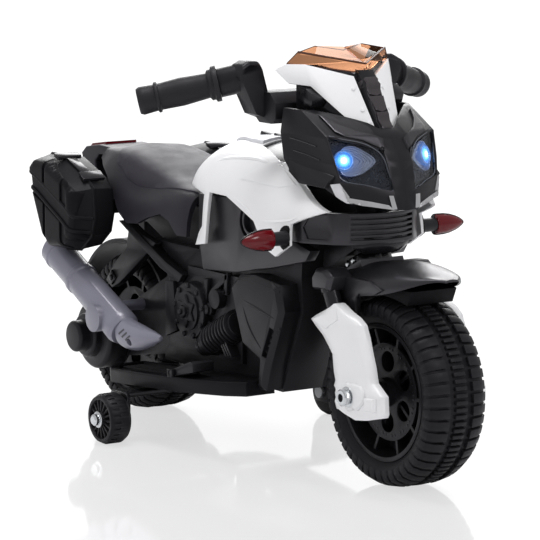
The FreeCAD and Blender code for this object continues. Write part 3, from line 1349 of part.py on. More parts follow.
small = int(d.pinion_teeth.value)
large = int(d.wheel_teeth.value)
face = d.gear_width
stub = 2.0
pin_bore = stub + d.running_gap.value


def compound_gear(wheel_stage, pinion_stage, on_axle):
    wheel = gear(large, 0.55, on_axle, stage(wheel_stage), face, pin_bore)
    pinion = gear(small, 0.8, on_axle, stage(pinion_stage), d.stage_pitch, pin_bore)
    return wheel.fuse(pinion).removeSplitter()


keep(form("idler_one_form", compound_gear(3, 2, False)), "idler_one")
keep(form("idler_two_form", compound_gear(2, 1, True)), "idler_two")
keep(form("idler_three_form", compound_gear(1, 0, False)), "idler_three")
shaft_r = 1.5
motor_front = stage(3) + face + 2.5
pinion_solid = gear(small, 0.8, True, stage(3), face, 0.2)
shaft = Part.makeCylinder(shaft_r, float(motor_front - stage(3)) - 0.1,
                          V(rear_x.value, -float(stage(3)), rear_r.value), V(0, -1, 0))
keep(form("pinion_form", pinion_solid.fuse(shaft).removeSplitter()), "motor_pinion")
rear_body = rim("drive_rim", gear_start + face, d.hub_half_length - d.side_gap, d.axle_radius)
at(rear_body, rear_x, 0, rear_r)
drive_gear = form("drive_gear", gear(large, 0.55, True, stage(0), face, d.hub_radius.value - 6))
keep(joined("rear_wheel_set", [rear_body, drive_gear]), "rear_rim")

motor = new_body("motor")
motor_profile = [
    (0, -motor_front), (d.motor_radius - 2, -motor_front), (d.motor_radius, -motor_front - 2),
    (d.motor_radius, -motor_front - d.motor_length), (0, -motor_front - d.motor_length),
]
spin(motor, draw(sketch_on(motor, "XY_Plane", "motor_profile"), motor_profile))
keep(at(motor, rear_x, 0, rear_r), "motor")
case = new_body("gearbox_case")
case_plate = sketch_on(case, "XZ_Plane", "case_plate", half)
ring_on(case_plate, 0, 0, d.case_radius)
ring_on(case_plate, 0, 0, d.hub_radius - d.hub_step + 1.5)
add_pad(case, case_plate, d.case_wall)
case_pin = ring_on(sketch_on(case, "XZ_Plane", "case_pin", half + 1), centre_gap, 0, stub)
add_pad(case, case_pin, stage(3) + face + 0.6 - half - 1)
keep(at(case, rear_x, 0, rear_r), "gearbox_case")
cover_in = d.case_radius - d.case_wall
cap_in = d.motor_radius + 0.15
deep = half + d.case_wall
step_y = motor_front - 0.8
gear_cover = new_body("gearbox_cover")
cover_profile = [
    (cover_in, -deep), (d.case_radius, -deep), (d.case_radius, -step_y + 1), (d.case_radius - 4, -step_y - 3),
    (28, -step_y - 4), (28, -step_y - 13), (25, -step_y - 16), (20, -step_y - 16),
    (20, -step_y - d.motor_length - 3), (17, -step_y - d.motor_length - 6), (0, -step_y - d.motor_length - 6),
    (0, -motor_front - d.motor_length), (cap_in, -motor_front - d.motor_length), (cap_in, -step_y),
    (cover_in, -step_y),
]
spin(gear_cover, draw(sketch_on(gear_cover, "XY_Plane", "cover_profile"), cover_profile))
keep(at(gear_cover, rear_x, 0, rear_r), "gearbox_cover")

# Rear axle with a spigot for the middle gear, and the blank cover on the left
rear_axle = new_body("rear_axle")
gap = d.running_gap
axle_end = -stage(0) - face - d.seat_gap
stub_end = -stage(2) - face - d.seat_gap
rear_axle_profile = [
    (0, half + 8), (9, half + 8), (9, half), (d.axle_radius, half), (d.axle_radius, axle_end),
    (stub, axle_end), (stub, stub_end), (0, stub_end),
]
spin(rear_axle, draw(sketch_on(rear_axle, "XY_Plane", "rear_axle_profile"), rear_axle_profile))
keep(at(rear_axle, rear_x, 0, rear_r), "rear_axle")
blank = new_body("hub_cover_left")
blank_profile = [
    (9.4, half), (d.case_radius, half), (d.case_radius, step_y - 1), (d.case_radius - 4, step_y + 3),
    (28, step_y + 4), (28, step_y + 13), (25, step_y + 16), (20, step_y + 16),
    (20, step_y + d.motor_length + 3), (17, step_y + d.motor_length + 6), (0, step_y + d.motor_length + 6),
    (0, half + 8.3), (9.4, half + 8.3),
]
spin(blank, draw(sketch_on(blank, "XY_Plane", "blank_profile"), blank_profile))
keep(at(blank, rear_x, 0, rear_r), "hub_cover_left")

# Training wheels on bent brackets
reach = d.training_reach
bolt_z = d.training_radius
bend = new_body("training_bracket")
arm_z = d.training_arm_top
plate_side = sketch_on(bend, "XZ_Plane", "bracket_plate", reach - d.training_plate - d.side_gap)
draw(plate_side, [
    (-d.training_x - 15, bolt_z - 13), (-d.training_x + 15, bolt_z - 13), (-d.training_x + 16, arm_z - 4),
    (-d.training_x + 12, arm_z), (-d.training_x - 20, arm_z), (-d.training_x - 24, arm_z - 4),
])
add_pad(bend, plate_side, d.training_plate)
arm_side = sketch_on(bend, "XZ_Plane", "bracket_arm", 30)
draw(arm_side, [
    (-d.training_x - 20, arm_z - 6), (-d.training_x + 12, arm_z - 6), (-d.training_x + 12, arm_z),
    (-d.training_x - 20, arm_z),
])
add_pad(bend, arm_side, reach - d.training_plate - 30)
riser = sketch_on(bend, "XZ_Plane", "bracket_riser", 30)
draw(riser, [
    (-d.training_x - 20, arm_z - 1), (-d.training_x + 12, arm_z - 1), (-d.training_x + 12, low_z),
    (-d.training_x - 20, low_z),
])
add_pad(bend, riser, 24)
bolt_hole = ring_on(sketch_on(bend, "XZ_Plane", "bracket_hole", reach + 10), -d.training_x, bolt_z,
                    d.training_bolt_radius + d.running_gap)
add_cut(bend, bolt_hole, 30)
pair("training_brackets", bend)
bolt = new_body("training_bolt")
inner_y = reach - d.training_plate - d.side_gap
outer_y = reach + d.training_width
bolt_r = d.training_bolt_radius
bolt_profile = [
    (0, -inner_y + 4), (8, -inner_y + 4), (8, -inner_y), (bolt_r, -inner_y), (bolt_r, -outer_y - 0.5),
    (10, -outer_y - 0.5), (10, -outer_y - 2), (7, -outer_y - 3), (7, -outer_y - 7), (5, -outer_y - 9),
    (0, -outer_y - 9),
]
spin(bolt, draw(sketch_on(bolt, "XY_Plane", "bolt_profile"), bolt_profile))
at(bolt, -d.training_x, 0, bolt_z)
pair("training_bolts", bolt)
small_wheel = new_body("training_wheel_right")
wheel_r = d.training_radius
wheel_profile = [
    (bolt_r + gap, -reach), (wheel_r - 10, -reach), (wheel_r - 3, -reach - 1), (wheel_r, -reach - 6),
    (wheel_r, -outer_y + 7), (wheel_r - 3, -outer_y + 1), (wheel_r - 7, -outer_y + 1),
    (wheel_r - 9, -outer_y + 9), (11, -outer_y + 9), (10, -outer_y), (bolt_r + gap, -outer_y),
]
spin(small_wheel, draw(sketch_on(small_wheel, "XY_Plane", "small_wheel_profile"), wheel_profile))
spoke = sketch_on(small_wheel, "XY_Plane", "spoke")
draw(spoke, [
    (9, -outer_y + 2), (wheel_r - 6, -outer_y + 3), (wheel_r - 6, -outer_y + 10), (9, -outer_y + 10),
])
repeat_round(small_wheel, add_pad(small_wheel, spoke, 2, both=True), "Y_Axis", d.spokes)
small_notch = sketch_on(small_wheel, "XY_Plane", "small_notch")
draw(small_notch, [
    (wheel_r - 1.6, -outer_y - 1), (wheel_r + 2, -outer_y - 1), (wheel_r + 2, -outer_y + 13),
    (wheel_r - 1.6, -outer_y + 13),
])
small_cut = add_cut(small_wheel, small_notch, 3, both=True)
repeat_round(small_wheel, small_cut, "Y_Axis", d.training_notches)
keep(at(small_wheel, -d.training_x, 0, bolt_z), "training_wheel_right")
keep(twin("training_twin", small_wheel), "training_wheel_left")

doc.recompute()
for item in doc.Objects:
    if "Invalid" in item.State or "Error" in item.State:
        raise RuntimeError("feature failed: %s %s" % (item.Name, item.State))
for node in nodes:
    if node.Shape.isNull() or not node.Shape.isValid():
        raise RuntimeError("bad shape: " + node.Label)
os.makedirs("parts", exist_ok=True)
for node in nodes:
    node.Shape.exportStep("parts/%s.step" % node.Label)
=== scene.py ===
import math
import bmesh
import bpy
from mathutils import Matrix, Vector
from mathutils.bvhtree import BVHTree


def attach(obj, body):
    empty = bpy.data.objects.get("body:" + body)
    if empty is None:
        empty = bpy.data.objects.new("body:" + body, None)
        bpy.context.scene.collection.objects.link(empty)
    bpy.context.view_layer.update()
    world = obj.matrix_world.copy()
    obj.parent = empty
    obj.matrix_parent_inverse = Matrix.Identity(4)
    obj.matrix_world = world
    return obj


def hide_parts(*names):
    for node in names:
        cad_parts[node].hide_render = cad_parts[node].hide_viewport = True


# x points ahead, y to the rider's left, z up. Shapes are in millimetres, the studio is in metres.
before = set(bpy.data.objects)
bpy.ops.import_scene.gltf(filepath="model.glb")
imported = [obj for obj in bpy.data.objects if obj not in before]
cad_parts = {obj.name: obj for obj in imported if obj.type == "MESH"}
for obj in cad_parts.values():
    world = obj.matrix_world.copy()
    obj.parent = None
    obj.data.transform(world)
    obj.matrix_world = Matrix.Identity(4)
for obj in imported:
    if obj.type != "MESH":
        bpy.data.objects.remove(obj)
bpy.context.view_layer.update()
scene = bpy.context.scene
MM = 0.001

# Material building blocks
NOISE_SPAN = (0.3, 0.7)
UNIT_SPAN = (0.0, 1.0)
# Pointiness span, gain and lift of the painted highlight on the edges of mouldings
HIGHLIGHT_EDGE_SPAN = (0.52, 0.62)
HIGHLIGHT_GAIN, HIGHLIGHT_LIFT = 2.5, 0.03
SHEEN_TINT = (0.95, 0.91, 1.0, 1.0)
COAT_ROUGH = 0.2
PLASTIC_GRAIN, METAL_GRAIN = 0.0003, 0.0001
MIX_FACTOR, MIX_A, MIX_B, MIX_RESULT = 0, 6, 7, 2
GLOW_REACH = 0.03
GLOW_STRENGTH = 4.0


def new_material(name):
    material = bpy.data.materials.new(name)
    material.use_nodes = True
    tree = material.node_tree
    return material, tree, tree.nodes["Principled BSDF"]


def add(tree, kind, **values):
    node = tree.nodes.new(kind)
    for key, value in values.items():
        if key in node.inputs:
            node.inputs[key].default_value = value
        else:
            setattr(node, key, value)
    return node


def noise(tree, scale, detail):
    where = add(tree, "ShaderNodeTexCoord")
    texture = add(tree, "ShaderNodeTexNoise", Scale=scale, Detail=detail)
    tree.links.new(where.outputs["Object"], texture.inputs["Vector"])
    return texture.outputs["Fac"]


def ramp(tree, source, low, high):
    node = add(tree, "ShaderNodeValToRGB")
    first, last = node.color_ramp.elements
    first.position, last.position = NOISE_SPAN
    first.color = (*low, 1.0)
    last.color = (*high, 1.0)
    tree.links.new(source, node.inputs["Fac"])
    return node.outputs["Color"]


def spread(tree, source, low, high, span=NOISE_SPAN):
    node = add(tree, "ShaderNodeMapRange")
    node.inputs["From Min"].default_value = span[0]
    node.inputs["From Max"].default_value = span[1]
    node.inputs["To Min"].default_value = low
    node.inputs["To Max"].default_value = high
    tree.links.new(source, node.inputs["Value"])
    return node.outputs["Result"]


def scaled(color, factor):
    return tuple(min(1.0, c * factor) for c in color)


def tint(tree, shader, scale, detail, low, high):
    tone = ramp(tree, noise(tree, scale, detail), low, high)
    tree.links.new(tone, shader.inputs["Base Color"])


def roughen(tree, shader, scale, detail, rough, swing):
    amount = spread(tree, noise(tree, scale, detail), rough * (1 - swing), rough * (1 + swing))
    tree.links.new(amount, shader.inputs["Roughness"])


def grain(tree, shader, scale, strength, distance):
    bump = add(tree, "ShaderNodeBump", Strength=strength, Distance=distance)
    tree.links.new(noise(tree, scale, 2.0), bump.inputs["Height"])
    tree.links.new(bump.outputs["Normal"], shader.inputs["Normal"])


def moulded(name, color, rough, scale, strength, vary, edge=0.0, coat=0.0, specular=0.5):
    material, tree, shader = new_material(name)
    tone = ramp(tree, noise(tree, 14, 4.0), scaled(color, 1 - vary), scaled(color, 1 + vary))
    # Edges made lighter by pointiness: a painted highlight where light catches them
    if edge:
        shape = add(tree, "ShaderNodeNewGeometry")
        painted_edge_highlight = spread(tree, shape.outputs["Pointiness"], 0.0, edge, HIGHLIGHT_EDGE_SPAN)
        mix = add(tree, "ShaderNodeMix", data_type="RGBA")
        mix.inputs[MIX_B].default_value = (*(min(1.0, c * HIGHLIGHT_GAIN + HIGHLIGHT_LIFT) for c in color), 1.0)
        tree.links.new(painted_edge_highlight, mix.inputs[MIX_FACTOR])
        tree.links.new(tone, mix.inputs[MIX_A])
        tone = mix.outputs[MIX_RESULT]
    tree.links.new(tone, shader.inputs["Base Color"])
    roughen(tree, shader, 45, 3.0, rough, 0.12)
    shader.inputs["Specular IOR Level"].default_value = specular
    shader.inputs["Specular Tint"].default_value = SHEEN_TINT
    shader.inputs["Coat Weight"].default_value = coat
    shader.inputs["Coat Roughness"].default_value = COAT_ROUGH
    grain(tree, shader, scale, strength, PLASTIC_GRAIN)
    return material


def metal(name, color, rough, scale, strength):
    material, tree, shader = new_material(name)
    tint(tree, shader, 60, 3.0, scaled(color, 0.85), color)
    roughen(tree, shader, 120, 3.0, rough, 0.3)
    shader.inputs["Metallic"].default_value = 1.0
    grain(tree, shader, scale, strength, METAL_GRAIN)
    return material


def clear(name, color, rough, deep, ior=1.46, specular=0.5):
    material, tree, shader = new_material(name)
    tint(tree, shader, 25, 2.0, scaled(color, 0.9), color)
    roughen(tree, shader, 90, 2.0, rough, 0.4)
    shader.inputs["Transmission Weight"].default_value = deep
    shader.inputs["IOR"].default_value = ior
    shader.inputs["Specular IOR Level"].default_value = specular
    return material


# Glow that fades with the distance from one place on the right and its mirror on the left
def glowing(name, color, rough, metallic, place, glow):
    material, tree, shader = new_material(name)
    tint(tree, shader, 80, 2.0, scaled(color, 0.8), color)
    roughen(tree, shader, 150, 2.0, rough, 0.3)
    shader.inputs["Metallic"].default_value = metallic
    where = add(tree, "ShaderNodeTexCoord")
    both = add(tree, "ShaderNodeVectorMath", operation="ABSOLUTE")
    tree.links.new(where.outputs["Object"], both.inputs[0])
    away = add(tree, "ShaderNodeVectorMath", operation="DISTANCE")
    away.inputs[1].default_value = place
    tree.links.new(both.outputs["Vector"], away.inputs[0])
    tone = add(tree, "ShaderNodeValToRGB")
    tone.color_ramp.elements[0].color = (*glow[0][1], 1.0)
    tone.color_ramp.elements[1].color = (*glow[-1][1], 1.0)
    for position, shade in glow[1:-1]:
        tone.color_ramp.elements.new(position).color = (*shade, 1.0)
    tree.links.new(spread(tree, away.outputs["Value"], 0.0, 1.0, (0.0, GLOW_REACH)), tone.inputs["Fac"])
    tree.links.new(tone.outputs["Color"], shader.inputs["Emission Color"])
    shader.inputs["Emission Strength"].default_value = GLOW_STRENGTH
    return material


# Mouldings: colour, roughness, grain scale and strength, change of tone, painted highlight on the edges
black = moulded("black_moulding", (0.0075, 0.0072, 0.0085), 0.36, 1100, 0.2, 0.15, 0.22, specular=0.26)
black_gloss = moulded("black_gloss_moulding", (0.006, 0.0058, 0.007), 0.2, 700, 0.1, 0.12, 0.2, specular=0.3)
# The black made darker and less reflective for the panniers and footboards: a shaded copy with painted shade
black_shaded_copy = moulded("black_shaded_copy_moulding", (0.006, 0.0058, 0.007), 0.38, 1100, 0.2, 0.15, 0.22, specular=0.1)
# The black made lighter and glossier for the parts that face the front: a lit copy with painted highlight
black_lit_copy = moulded(
    "black_lit_copy_moulding", (0.009, 0.0086, 0.0102), 0.32, 1000, 0.15, 0.15, 0.2, specular=0.55)
black_soft = moulded("black_grip_moulding", (0.013, 0.0125, 0.014), 0.5, 1500, 0.4, 0.15, 0.2, specular=0.25)
tyre_black = moulded("tyre_moulding", (0.0085, 0.008, 0.0095), 0.44, 1300, 0.3, 0.15, 0.25, specular=0.17)
seat_black = moulded("seat_moulding", (0.0135, 0.0125, 0.0165), 0.42, 1600, 0.5, 0.12, 0.12, specular=0.3)
pad_black = moulded("seat_pad_moulding", (0.0225, 0.021, 0.0275), 0.5, 1900, 0.7, 0.12, specular=0.3)
# Near-black for sheets that stand for the shade in holes, hollows and under the fender: painted shade
painted_shade_black = moulded("shadow_moulding", (0.003, 0.003, 0.0035), 0.6, 900, 0.2, 0.1, specular=0.12)
white = moulded("white_moulding", (0.8, 0.8, 0.815), 0.32, 500, 0.05, 0.015, coat=0.2)
lid_grey = moulded("lid_moulding", (0.74, 0.75, 0.79), 0.35, 700, 0.08, 0.03, coat=0.1)
silver = moulded("silver_moulding", (0.172, 0.172, 0.218), 0.33, 1800, 0.12, 0.08, coat=0.3, specular=0.7)
# Dark grey for the slots of the silver pipes: painted shade in the recesses
silver_recess_shade = moulded("silver_painted_recess_shade", (0.05, 0.051, 0.056), 0.45, 1800, 0.12, 0.08)
black_paint = moulded("black_paint", (0.006, 0.006, 0.007), 0.25, 900, 0.08, 0.1, coat=0.1, specular=0.3)
smoked = moulded("smoked_moulding", (0.035, 0.03, 0.032), 0.22, 600, 0.1, 0.1)
nylon = moulded("nylon_moulding", (0.76, 0.75, 0.69), 0.45, 900, 0.1, 0.05)
case_dark = moulded("case_moulding", (0.02, 0.02, 0.022), 0.5, 900, 0.2, 0.1, specular=0.3)
amber_edge = moulded("amber_edge", (0.09, 0.035, 0.02), 0.2, 500, 0.05, 0.1)
lens_edge = moulded("lens_edge", (0.1, 0.11, 0.13), 0.1, 500, 0.03, 0.08)
zinc = metal("zinc_plate", (0.66, 0.68, 0.7), 0.22, 300, 0.02)
chrome = metal("chrome_plate", (0.56, 0.56, 0.58), 0.06, 200, 0.03)
red = clear("red_lens", (0.17, 0.004, 0.009), 0.12, 0.3, specular=0.3)
amber = clear("amber_screen", (0.76, 0.36, 0.19), 0.02, 1.0, 1.05, specular=0.2)
lens_tint = clear("tinted_lens", (0.62, 0.66, 0.75), 0.006, 1.0, 1.2)

# Headlights: glow of the lamp itself, and painted light of the lamp on its dish and, weaker, on the floor
# behind
GLOW_CENTRE = (0.2437, 0.0570, 0.3726)
chip_glow = [
    (0.0, (1.0, 1.0, 1.0)), (0.08, (0.7, 0.9, 1.0)), (0.15, (0.1, 0.4, 0.9)), (0.26, (0.008, 0.1, 0.36)),
    (0.45, (0.0, 0.01, 0.06)), (1.0, (0.0, 0.0, 0.01)),
]
dish_painted_glow = [
    (0.0, (0.06, 0.2, 0.4)), (0.3, (0.006, 0.05, 0.15)), (0.5, (0.0005, 0.006, 0.03)),
    (0.8, (0.0, 0.0, 0.002)), (1.0, (0.0, 0.0, 0.0)),
]
floor_painted_glow = [(position, scaled(shade, 0.3)) for position, shade in dish_painted_glow]
lamp_chip = glowing("lamp_light", (0.6, 0.75, 0.95), 0.2, 0.0, GLOW_CENTRE, chip_glow)
# The dish and the lamp floor are no lamps: their glow is painted light of the lamp
reflector_painted_glow = glowing("lamp_reflector_painted_light", (0.5, 0.52, 0.56), 0.12, 0.7, GLOW_CENTRE, dish_painted_glow)
lamp_floor_painted_glow = glowing("lamp_floor_painted_light", (0.008, 0.009, 0.013), 0.3, 0.0, GLOW_CENTRE, floor_painted_glow)

PAINT = {
    "front_tyre": tyre_black, "rear_tyre": tyre_black, "front_rim": black, "rear_rim": black,
    "front_fender": black_lit_copy, "handlebar": black, "grips": black_soft, "front_cowl": black,
    "screen_spine": black_gloss, "body_shell_right": black, "body_shell_left": black,
    "dash_panel": black_gloss, "rear_mudguard": black, "chin_grille": black_lit_copy, "indicator_stalks": black,
    "side_panels": black_lit_copy, "engine_panels": black, "radiator_shrouds": black,
    "footboard_left": black_shaded_copy, "footboard_right": black_shaded_copy, "accelerator_pedal": black,
    "pannier_right": black_shaded_copy, "pannier_left": black_shaded_copy, "subframes": black, "gearbox_case": black,
    "gearbox_cover": black, "hub_cover_left": black, "training_wheel_right": tyre_black,
    "training_wheel_left": tyre_black, "power_switch": black_gloss, "direction_switch": black_gloss,
    "seat": seat_black, "grab_rail": seat_black, "fork_covers": white, "tank_cover": white,
    "screen_cheeks": white, "tank_lid": lid_grey, "exhaust_right": silver, "exhaust_left": silver,
    "indicator_lenses": red, "tail_light": red, "windscreen": amber, "headlight_lenses": lens_tint,
    "headlight_bowls": reflector_painted_glow, "lamp_trims": chrome, "front_axle": zinc, "training_bolts": zinc,
    "rear_axle": zinc, "motor": zinc, "steering_stem": black_paint, "fork_legs": black_paint,
    "training_brackets": black_paint, "idler_one": nylon, "idler_two": nylon, "idler_three": nylon,
    "motor_pinion": nylon, "steering_bushes": case_dark, "battery": case_dark, "control_board": case_dark,
}

# Surface finish of every node and piece: rounded edges, then soft shading below a crease angle
CREASE_ANGLE = 32
BEVEL_ANGLE = 38
WELD_GAP = 0.00001
PLANE_ANGLE = 0.4


def smooth_group():
    group = bpy.data.node_groups.new("smooth_by_angle", "GeometryNodeTree")
    group.interface.new_socket("Geometry", in_out="INPUT", socket_type="NodeSocketGeometry")
    group.interface.new_socket("Geometry", in_out="OUTPUT", socket_type="NodeSocketGeometry")
    source = group.nodes.new("NodeGroupInput")
    target = group.nodes.new("NodeGroupOutput")
    faces = group.nodes.new("GeometryNodeSetShadeSmooth")
    faces.domain = "FACE"
    edges = group.nodes.new("GeometryNodeSetShadeSmooth")
    edges.domain = "EDGE"
    edges.inputs["Shade Smooth"].default_value = False
    angle = group.nodes.new("GeometryNodeInputMeshEdgeAngle")
    compare = group.nodes.new("FunctionNodeCompare")
    compare.data_type = "FLOAT"
    compare.operation = "GREATER_THAN"
    compare.inputs[1].default_value = math.radians(CREASE_ANGLE)
    links = group.links
    links.new(source.outputs[0], faces.inputs["Geometry"])
    links.new(faces.outputs["Geometry"], edges.inputs["Geometry"])
    links.new(angle.outputs["Unsigned Angle"], compare.inputs[0])
    links.new(compare.outputs[0], edges.inputs["Selection"])
    links.new(edges.outputs["Geometry"], target.inputs[0])
    return group


SMOOTH = smooth_group()


def finish_surface(obj, width, angle=BEVEL_ANGLE):
    if width:
        edge = obj.modifiers.new("rounded", "BEVEL")
        edge.width = width * MM
        edge.segments = 2
        edge.limit_method = "ANGLE"
        edge.angle_limit = math.radians(angle)
        edge.use_clamp_overlap = True
        edge.miter_outer = "MITER_ARC"
    shade = obj.modifiers.new("shade", "NODES")
    shade.node_group = SMOOTH


ROUND = {
    "front_tyre": 0.8, "rear_tyre": 0.8, "front_rim": 0.6, "rear_rim": 0.6, "fork_covers": 1.2,
    "screen_cheeks": 2.0, "front_cowl": 3.2, "handlebar": 1.8, "chin_grille": 0.8, "radiator_shrouds": 1.5,
    "side_panels": 1.2, "engine_panels": 1.0, "body_shell_right": 1.2, "body_shell_left": 1.2,
    "subframes": 1.4, "windscreen": 0.5, "footboard_left": 0.7, "footboard_right": 0.7,
    "accelerator_pedal": 1.2, "gearbox_cover": 1.4, "hub_cover_left": 1.4, "training_brackets": 0.8,
    "screen_spine": 0.8, "training_wheel_right": 0.5, "training_wheel_left": 0.5, "front_axle": 0.6,
    "tank_cover": 0.8, "power_switch": 0.6, "direction_switch": 0.6, "exhaust_right": 1.0,
    "exhaust_left": 1.0, "grips": 0.6,
}
for name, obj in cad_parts.items():
    obj.data.materials.clear()
    obj.data.materials.append(PAINT[name])
    weld = obj.modifiers.new("weld", "WELD")
    weld.merge_threshold = WELD_GAP
    flat = obj.modifiers.new("planes", "DECIMATE")
    flat.decimate_type = "DISSOLVE"
    flat.angle_limit = math.radians(PLANE_ANGLE)
    finish_surface(obj, ROUND.get(name, 0))

# Directions and places that several pieces share; a hub is the x and z of an axis along y
INWARD = Vector((0, 1, 0))
OUTWARD = Vector((0, -1, 0))
DOWN = Vector((0, 0, -1))
FRONT_HUB, FRONT_RADIUS = (285, 110), 110
REAR_HUB, REAR_RADIUS = (-271, 102), 102
CLUTCH = (-62, 160)
INDICATOR = (183.5, 280)
CAST_START = 60


def at(hub, y):
    return Vector((hub[0], y, hub[1]))


def around(hub, radius, turn):
    return hub[0] + radius * math.cos(turn), hub[1] + radius * math.sin(turn)


def between(rows, place):
    for (a, low), (b, high) in zip(rows, rows[1:]):
        if place <= b:
            return low + (high - low) * (place - a) / (b - a)
    return rows[-1][1]


# Surface of a CAD node, for pieces that lie on it
def surface(name):
    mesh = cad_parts[name].data
    return BVHTree.FromPolygons([v.co / MM for v in mesh.vertices], [tuple(p.vertices) for p in mesh.polygons])


def landed(tree, point, way):
    hit = tree.ray_cast(Vector(point) - way * CAST_START, way)[0]
    return hit if hit is not None else tree.find_nearest(Vector(point))[0]


def smooth_path(points, steps, closed=False):
    points = [Vector(p) for p in points]
    if closed:
        ends = [points[-1]] + points + [points[0], points[1]]
    else:
        ends = [points[0] * 2 - points[1]] + points + [points[-1] * 2 - points[-2]]
    path = []
    for a, b, c, d in zip(ends, ends[1:], ends[2:], ends[3:]):
        square, cube = 2 * a - 5 * b + 4 * c - d, 3 * b - a - 3 * c + d
        for k in range(steps):
            t = k / steps
            path.append(0.5 * (2 * b + (c - a) * t + square * t * t + cube * t ** 3))
    return path if closed else path + [points[-1]]


# A piece gathers closed shapes in millimetres and becomes one object
class Piece:
    def __init__(self):
        self.verts = []
        self.faces = []

    def add(self, verts, faces):
        base = len(self.verts)
        self.verts += [Vector(v) for v in verts]
        self.faces += [tuple(base + i for i in face) for face in faces]
        return self

    def skin(self, rings, loop=False):
        count = len(rings[0])
        faces = []
        for i in range(len(rings) if loop else len(rings) - 1):
            j = (i + 1) % len(rings)
            for k in range(count):
                n = (k + 1) % count
                faces.append((i * count + k, i * count + n, j * count + n, j * count + k))
        if not loop:
            faces.append(tuple(reversed(range(count))))
            faces.append(tuple(range((len(rings) - 1) * count, len(rings) * count)))
        return self.add([v for ring in rings for v in ring], faces)

    # A flat shape in x and z, raised from near to far along y, with a sloping edge
    def plate(self, points, near, far, slope):
        middle = sum((Vector((x, 0, z)) for x, z in points), Vector()) / len(points)
        lean = slope if far > near else -slope
        rings = [[Vector((x, y, z)) for x, z in points] for y in (near, far - lean)]
        top = []
        for x, z in points:
            out = Vector((x, 0, z)) - middle
            out = out * max(0.0, 1 - slope / max(out.length, 0.01))
            top.append(Vector((middle.x + out.x, far, middle.z + out.z)))
        return self.skin(rings + [top])

    def slab(self, points, shift):
        points = [Vector(p) for p in points]
        return self.skin([points, [p + Vector(shift) for p in points]])

    # Rings of a radius at a height along the axis
    def turned(self, profile, centre, axis, sides, loop=False):
        axis = Vector(axis).normalized()
        side = axis.orthogonal().normalized()
        other = axis.cross(side)
        turns = [2 * math.pi * k / sides for k in range(sides)]
        rings = []
        for r, h in profile:
            hub = Vector(centre) + axis * h
            rings.append([hub + (side * math.cos(a) + other * math.sin(a)) * r for a in turns])
        return self.skin(rings, loop)

    def tube(self, path, sizes, sides=8, closed=False):
        path = [Vector(p) for p in path]
        count = len(path)
        turns = [2 * math.pi * n / sides for n in range(sides)]
        rings = []
        side = None
        for k, point in enumerate(path):
            ahead = path[(k + 1) % count] if closed or k < count - 1 else point
            behind = path[k - 1] if closed or k else point
            run = (ahead - behind).normalized()
            side = (side - run * side.dot(run)).normalized() if side else run.orthogonal().normalized()
            other = run.cross(side)
            size = sizes[k] if isinstance(sizes, list) else sizes
            rings.append([point + (side * math.cos(a) + other * math.sin(a)) * size for a in turns])
        return self.skin(rings, closed)

    # A sheet laid on a surface along a direction, thick above it and sunk a little into it
    def drape(self, outline, tree, way, thick, sink, size=4.0):
        mesh = bmesh.new()
        sheet = mesh.faces.new([mesh.verts.new(p) for p in outline])
        bmesh.ops.triangulate(mesh, faces=[sheet])
        for _ in range(7):
            wide = [e for e in mesh.edges if e.calc_length() > size]
            if not wide:
                break
            bmesh.ops.subdivide_edges(mesh, edges=wide, cuts=1)
            bmesh.ops.triangulate(mesh, faces=[f for f in mesh.faces if len(f.verts) > 3])
        mesh.verts.index_update()
        spots = [landed(tree, v.co, way) for v in mesh.verts]
        count = len(spots)
        corners = [tuple(v.index for v in f.verts) for f in mesh.faces]
        mesh.free()
        sheet = list({frozenset(f): f for f in corners}.values())
        sides = {(f[k - 1], f[k]) for f in sheet for k in range(3)}
        faces = sheet + [tuple(i + count for i in reversed(f)) for f in sheet]
        faces += [(b, a, a + count, b + count) for a, b in sides if (b, a) not in sides]
        return self.add([s - way * thick for s in spots] + [s + way * sink for s in spots], faces)

    # A round bead laid on a surface, thinner towards its ends where it tapers
    def trail(self, points, tree, way, radius, lift, steps=6, taper=True):
        path = [landed(tree, p, way) - way * lift for p in smooth_path(points, steps)]
        last = len(path) - 1
        if not taper:
            return self.tube(path, radius)
        swell = [max(0.25, math.sin(math.pi * k / last)) ** 0.5 for k in range(last + 1)]
        return self.tube(path, [radius * s for s in swell])

    def bolt(self, centre, axis, radius, height, sides=20):
        head = [(radius, -1.0), (radius, height * 0.55), (radius * 0.82, height * 0.9), (radius * 0.4, height)]
        return self.turned(head, centre, axis, sides)

    def mirror(self):
        flip = [Vector((v.x, -v.y, v.z)) for v in self.verts]
        return self.add(flip, [tuple(reversed(face)) for face in self.faces])

    def build(self, name, material, body, slot, bevel=0.0, angle=BEVEL_ANGLE):
        mesh = bpy.data.meshes.new(name)
        work = bmesh.new()
        spots = [work.verts.new(v * MM) for v in self.verts]
        for face in self.faces:
            work.faces.new([spots[i] for i in face])
        bmesh.ops.recalc_face_normals(work, faces=work.faces[:])
        work.to_mesh(mesh)
        work.free()
        obj = bpy.data.objects.new(name, mesh)
        mesh.materials.append(material)
        scene.collection.objects.link(obj)
        finish_surface(obj, bevel, angle)
        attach(obj, body)
        return obj


# Tyres: casing, shoulder blocks and the ladder rib
CASING_SIDES = 144
BLOCKS, BLOCK_GAP = 48, 3.5
BARS, BAR_WIDTH = 84, 4.5


